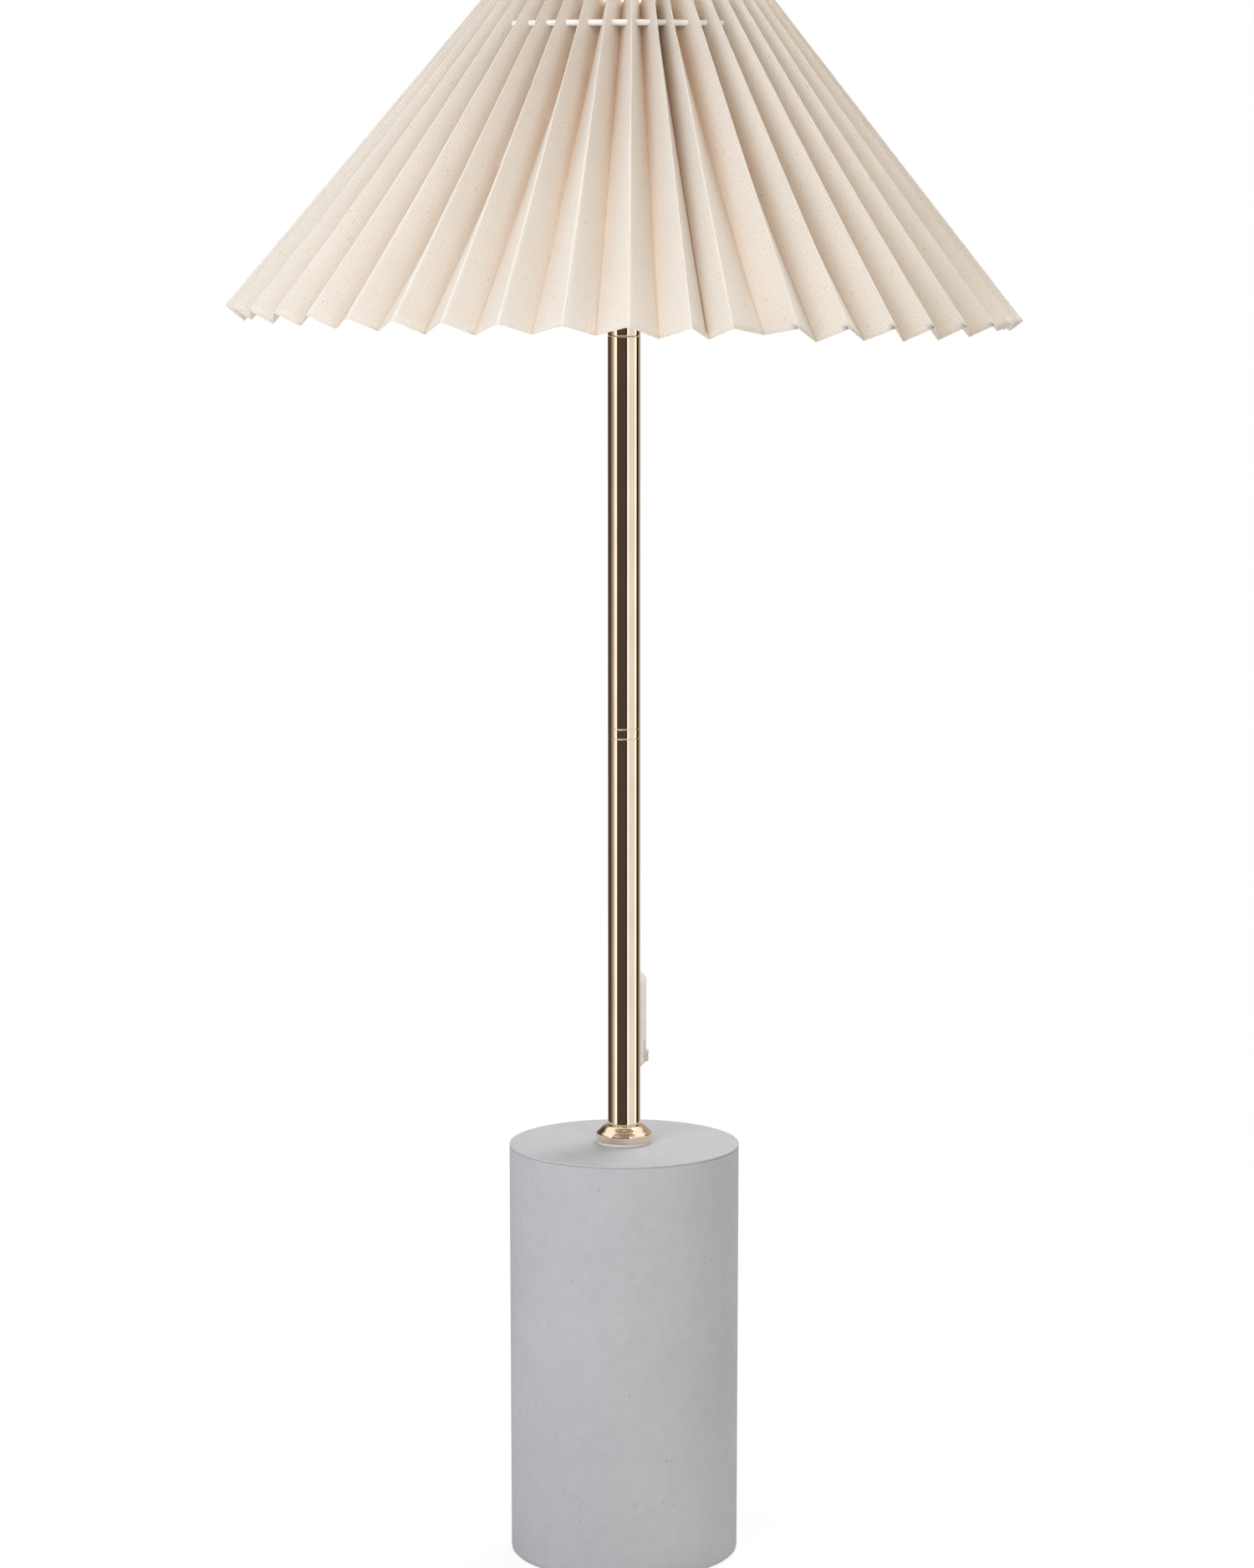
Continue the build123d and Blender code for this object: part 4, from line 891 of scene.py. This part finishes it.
def facet_line(folds, facet, row):
    """Places across one facet: the half bend at its first fold, the flat and the half bend at its
    last fold, each as the place and its distance along the cloth."""
    count = 2 * ridge_count
    before, start, end, after = (folds[(facet + k) % count] for k in (-1, 0, 1, 2))
    first_bend, last_bend = bend_of(facet % count, row), bend_of((facet + 1) % count, row)
    ahead = (end - start).normalized()
    back = (before - start).normalized()
    beyond = (after - end).normalized()
    width = width_of(facet, row)
    line = []
    for step in fold_steps:
        t = 0.5 + step / 2
        place = start + (back * (1 - t) ** 2 + ahead * t**2) * first_bend
        line.append((place, first_bend * step))
    for step in flat_steps:
        along = first_bend + (width - first_bend - last_bend) * step
        line.append((start + ahead * along, along))
    for step in reversed(fold_steps[1:]):
        t = 0.5 + step / 2
        place = end + (beyond * (1 - t) ** 2 - ahead * t**2) * last_bend
        line.append((place, width - last_bend * step))
    return line


print("places across a facet", facet_columns)

# %% [markdown]
# ## The cloth
# The rows of folds become a sheet that closes round. Its map is the flat strip in metres, and its
# fold attribute runs from 1 on a ridge to 0 in a valley.

# %% Cloth
bm = bmesh.new()
strip_map = bm.loops.layers.uv.new("strip")
fold_layer = bm.verts.layers.float.new("fold")
columns = 2 * ridge_count * facet_columns
grid = []
distance = []
for row in range(rows + 1):
    folds = fold_points(row)
    line = []
    row_distance = []
    facet_starts = [sum(width_of(k, row) for k in range(facet)) for facet in range(2 * ridge_count + 1)]
    for facet in range(2 * ridge_count):
        for place, along in facet_line(folds, facet, row):
            vert = bm.verts.new(place * mm)
            share = along / width_of(facet, row)
            vert[fold_layer] = 1 - share if facet % 2 == 0 else share
            line.append(vert)
            row_distance.append(facet_starts[facet] + along)
    grid.append(line)
    distance.append(row_distance + [facet_starts[-1]])
for row in range(rows):
    for column in range(columns):
        beside = (column + 1) % columns
        corners = ((row, column), (row, beside), (row + 1, beside), (row + 1, column))
        face = bm.faces.new([grid[r][c] for r, c in corners])
        for loop, (r, c), lift in zip(face.loops, corners, (0, 1, 1, 0)):
            length = distance[r][column + lift]
            loop[strip_map].uv = (length * mm, slant * r / rows * mm)
print("cloth", rows, "by", columns, "faces")

# %% [markdown]
# ## Hanging the cloth
# The photographed shade leans to the right by a little over one degree and sits 2.8 mm off the stem's
# axis, so the sheet does too. A Solidify modifier gives it the cloth's thickness.

# %% Hung cloth
lean = Matrix.Rotation(math.radians(1.12), 4, "Y")
ring_centre = Vector((0, 0, wire_height * mm))
slip = Vector((2.8 * mm, 0, 0))
turn_about = Matrix.Translation(ring_centre + slip) @ lean @ Matrix.Translation(-ring_centre)
bmesh.ops.transform(bm, matrix=turn_about, verts=bm.verts)
shade = new_piece("pleated_shade_piece", bm, linen, "shade", smooth_angle=50)
thick = shade.modifiers.new("cloth thickness", "SOLIDIFY")
thick.thickness = 0.4 * mm
thick.offset = -1
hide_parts("pleated_shade")

# %% [markdown]
# ## The seam's stitches
# The strip is closed by a row of stitches beside one valley. They are short threads that lean across
# it, each a thin rod of a few faces, because there are more than a hundred of them.

# %% Stitches
stitch_pitch = 1.55
stitch_reach = 0.75
stitch_offset = 1.3
stitch_lift = 0.35
stitch_lean = 0.35
thread_radius = 0.17
bm = bmesh.new()
for stitch in range(int(slant / stitch_pitch) - 2):
    row = (stitch + 1.5) * stitch_pitch / slant * rows
    folds = fold_points(row)
    ridge, valley, beyond = (folds[(2 * seam_ridge + k) % (2 * ridge_count)] for k in (0, 1, 2))
    to_ridge = (ridge - valley).normalized()
    outward = ((ridge + beyond) / 2 - valley).normalized()
    down = (fold_points(row + 1)[2 * seam_ridge + 1] - valley).normalized()
    seat = valley + outward * stitch_lift
    first = seat + to_ridge * (stitch_offset + stitch_reach) - down * stitch_lean
    last = seat + to_ridge * (stitch_offset - stitch_reach) + down * stitch_lean
    axis = (last - first).normalized()
    length = (last - first).length * mm
    size = thread_radius * mm
    made = bmesh.ops.create_cone(bm, cap_ends=True, segments=8, radius1=size, radius2=size, depth=length)
    turn = Vector((0, 0, 1)).rotation_difference(axis).to_matrix().to_4x4()
    spot = Matrix.Translation((first + last) / 2 * mm) @ turn
    bmesh.ops.transform(bm, matrix=spot, verts=made["verts"])
bmesh.ops.transform(bm, matrix=turn_about, verts=bm.verts)
stitches = new_piece("seam_stitching", bm, thread, "shade")
print("stitches", len(stitches.data.polygons) // 10)

# %% [markdown]
# ## The pieces that keep their CAD shape
# Everything else keeps the CAD model's shape and gets the finish that such a piece has.

# %% Finishes of the CAD pieces
finish_of_slot = {
    "concrete": concrete,
    "gold_metal": gold,
    "linen": linen,
    "white_paint": white_paint,
    "white_plastic": white_plastic,
    "grey_plastic": grey_plastic,
    "black_plastic": black_plastic,
    "black_rubber": black_rubber,
    "foam": foam,
    "clear_plastic": gasket_clear,
    "zinc_steel": zinc,
    "plain_brass": brass,
    "ceramic": ceramic,
    "lead_brown": brown_lead,
    "lead_blue": blue_lead,
    "bulb_metal": nickel,
    "clear_glass": bulb_clear,
    "filament_yellow": filament,
}
for subpart in frame["record"]["subparts"]:
    cad_piece = frame["nodes"][subpart["node"]]
    for material_slot in cad_piece.material_slots:
        material_slot.material = finish_of_slot[subpart["material_slot"]]
print("CAD pieces", len(frame["nodes"]))

# %% [markdown]
# ## What the metal mirrors
# Polished metal shows its surroundings, and the photograph's stem shows a studio: white screens on
# both sides, a dark room behind the camera and brown between. One tall, round screen stands in for
# it. The screen glows, and its colour changes with the direction, which comes from its coordinates.

# %% Direction on the screen
studio_material = bpy.data.materials.new("mirrored_studio")
studio_material.use_nodes = True
tree = studio_material.node_tree
tree.nodes.clear()
studio_out = tree.nodes.new("ShaderNodeOutputMaterial")
glow = node(tree, "Emission", {"Strength": 1.0})
tree.links.new(glow.outputs[0], studio_out.inputs["Surface"])
parts = node(tree, "SeparateXYZ", {"Vector": object_place(tree)})
forward = combine(tree, "MULTIPLY", parts.outputs["Y"], -1.0)
angle = combine(tree, "ARCTAN2", parts.outputs["X"], forward)
share_round = rescale(tree, angle, -math.pi, math.pi)
print("direction made with", len(tree.nodes), "nodes")

# %% [markdown]
# ## Bands of the studio
# Five plain tints stand for what such a studio holds, and each band begins at a round number of
# degrees, counted from behind the camera to the right. Far above and below, the screen is white.

# %% Bands of the studio
dark_room = (0.08, 0.06, 0.05)
black_gap = (0.02, 0.01, 0.01)
brown_wall = (0.5, 0.4, 0.3)
white_screen = (0.9, 0.9, 0.9)
bright_edge = (1.4, 1.4, 1.4)
studio_bands = [
    (-180, brown_wall),
    (-150, dark_room),
    (-110, dark_room),
    (-85, brown_wall),
    (-70, white_screen),
    (-65, bright_edge),
    (-55, bright_edge),
    (-50, black_gap),
    (-45, dark_room),
    (10, dark_room),
    (15, black_gap),
    (20, black_gap),
    (25, bright_edge),
    (30, bright_edge),
    (35, white_screen),
    (80, white_screen),
    (85, bright_edge),
    (95, bright_edge),
    (100, black_gap),
    (115, black_gap),
    (140, brown_wall),
]
level = ramp(tree, share_round, [((at + 180) / 360, tint) for at, tint in studio_bands])
level_share = rescale(tree, parts.outputs["Z"], -1.5, 2.5)
white_ends = [(0.10, (1, 1, 1)), (0.22, (0, 0, 0)), (0.66, (0, 0, 0)), (0.78, (1, 1, 1))]
above = ramp(tree, level_share, white_ends)
colour = blend_colours(tree, above, level, (1.15, 1.15, 1.15))
tree.links.new(colour, glow.inputs["Color"])
print("bands", len(studio_bands))

# %% [markdown]
# ## The studio's screen
# The screen is an open cylinder round the lamp, with its faces turned inwards. Only mirror rays see
# it, so it throws no light or shadow on the cloth and doesn't hide the white backdrop.

# %% Mirrored studio
screen_radius, screen_depth = 1.6, 6.0
spot = Matrix.Translation((0, 0, 0.5))
bm = bmesh.new()
bmesh.ops.create_cone(
    bm,
    cap_ends=False,
    segments=96,
    radius1=screen_radius,
    radius2=screen_radius,
    depth=screen_depth,
    matrix=spot,
)
bmesh.ops.reverse_faces(bm, faces=bm.faces)
studio_mesh = bpy.data.meshes.new("mirrored_studio")
bm.to_mesh(studio_mesh)
bm.free()
studio = bpy.data.objects.new("mirrored_studio", studio_mesh)
scene.collection.objects.link(studio)
studio_mesh.materials.append(studio_material)
studio.visible_camera = False
studio.visible_diffuse = False
studio.visible_transmission = False
studio.visible_shadow = False
studio.visible_volume_scatter = False
print("screen", studio.name)
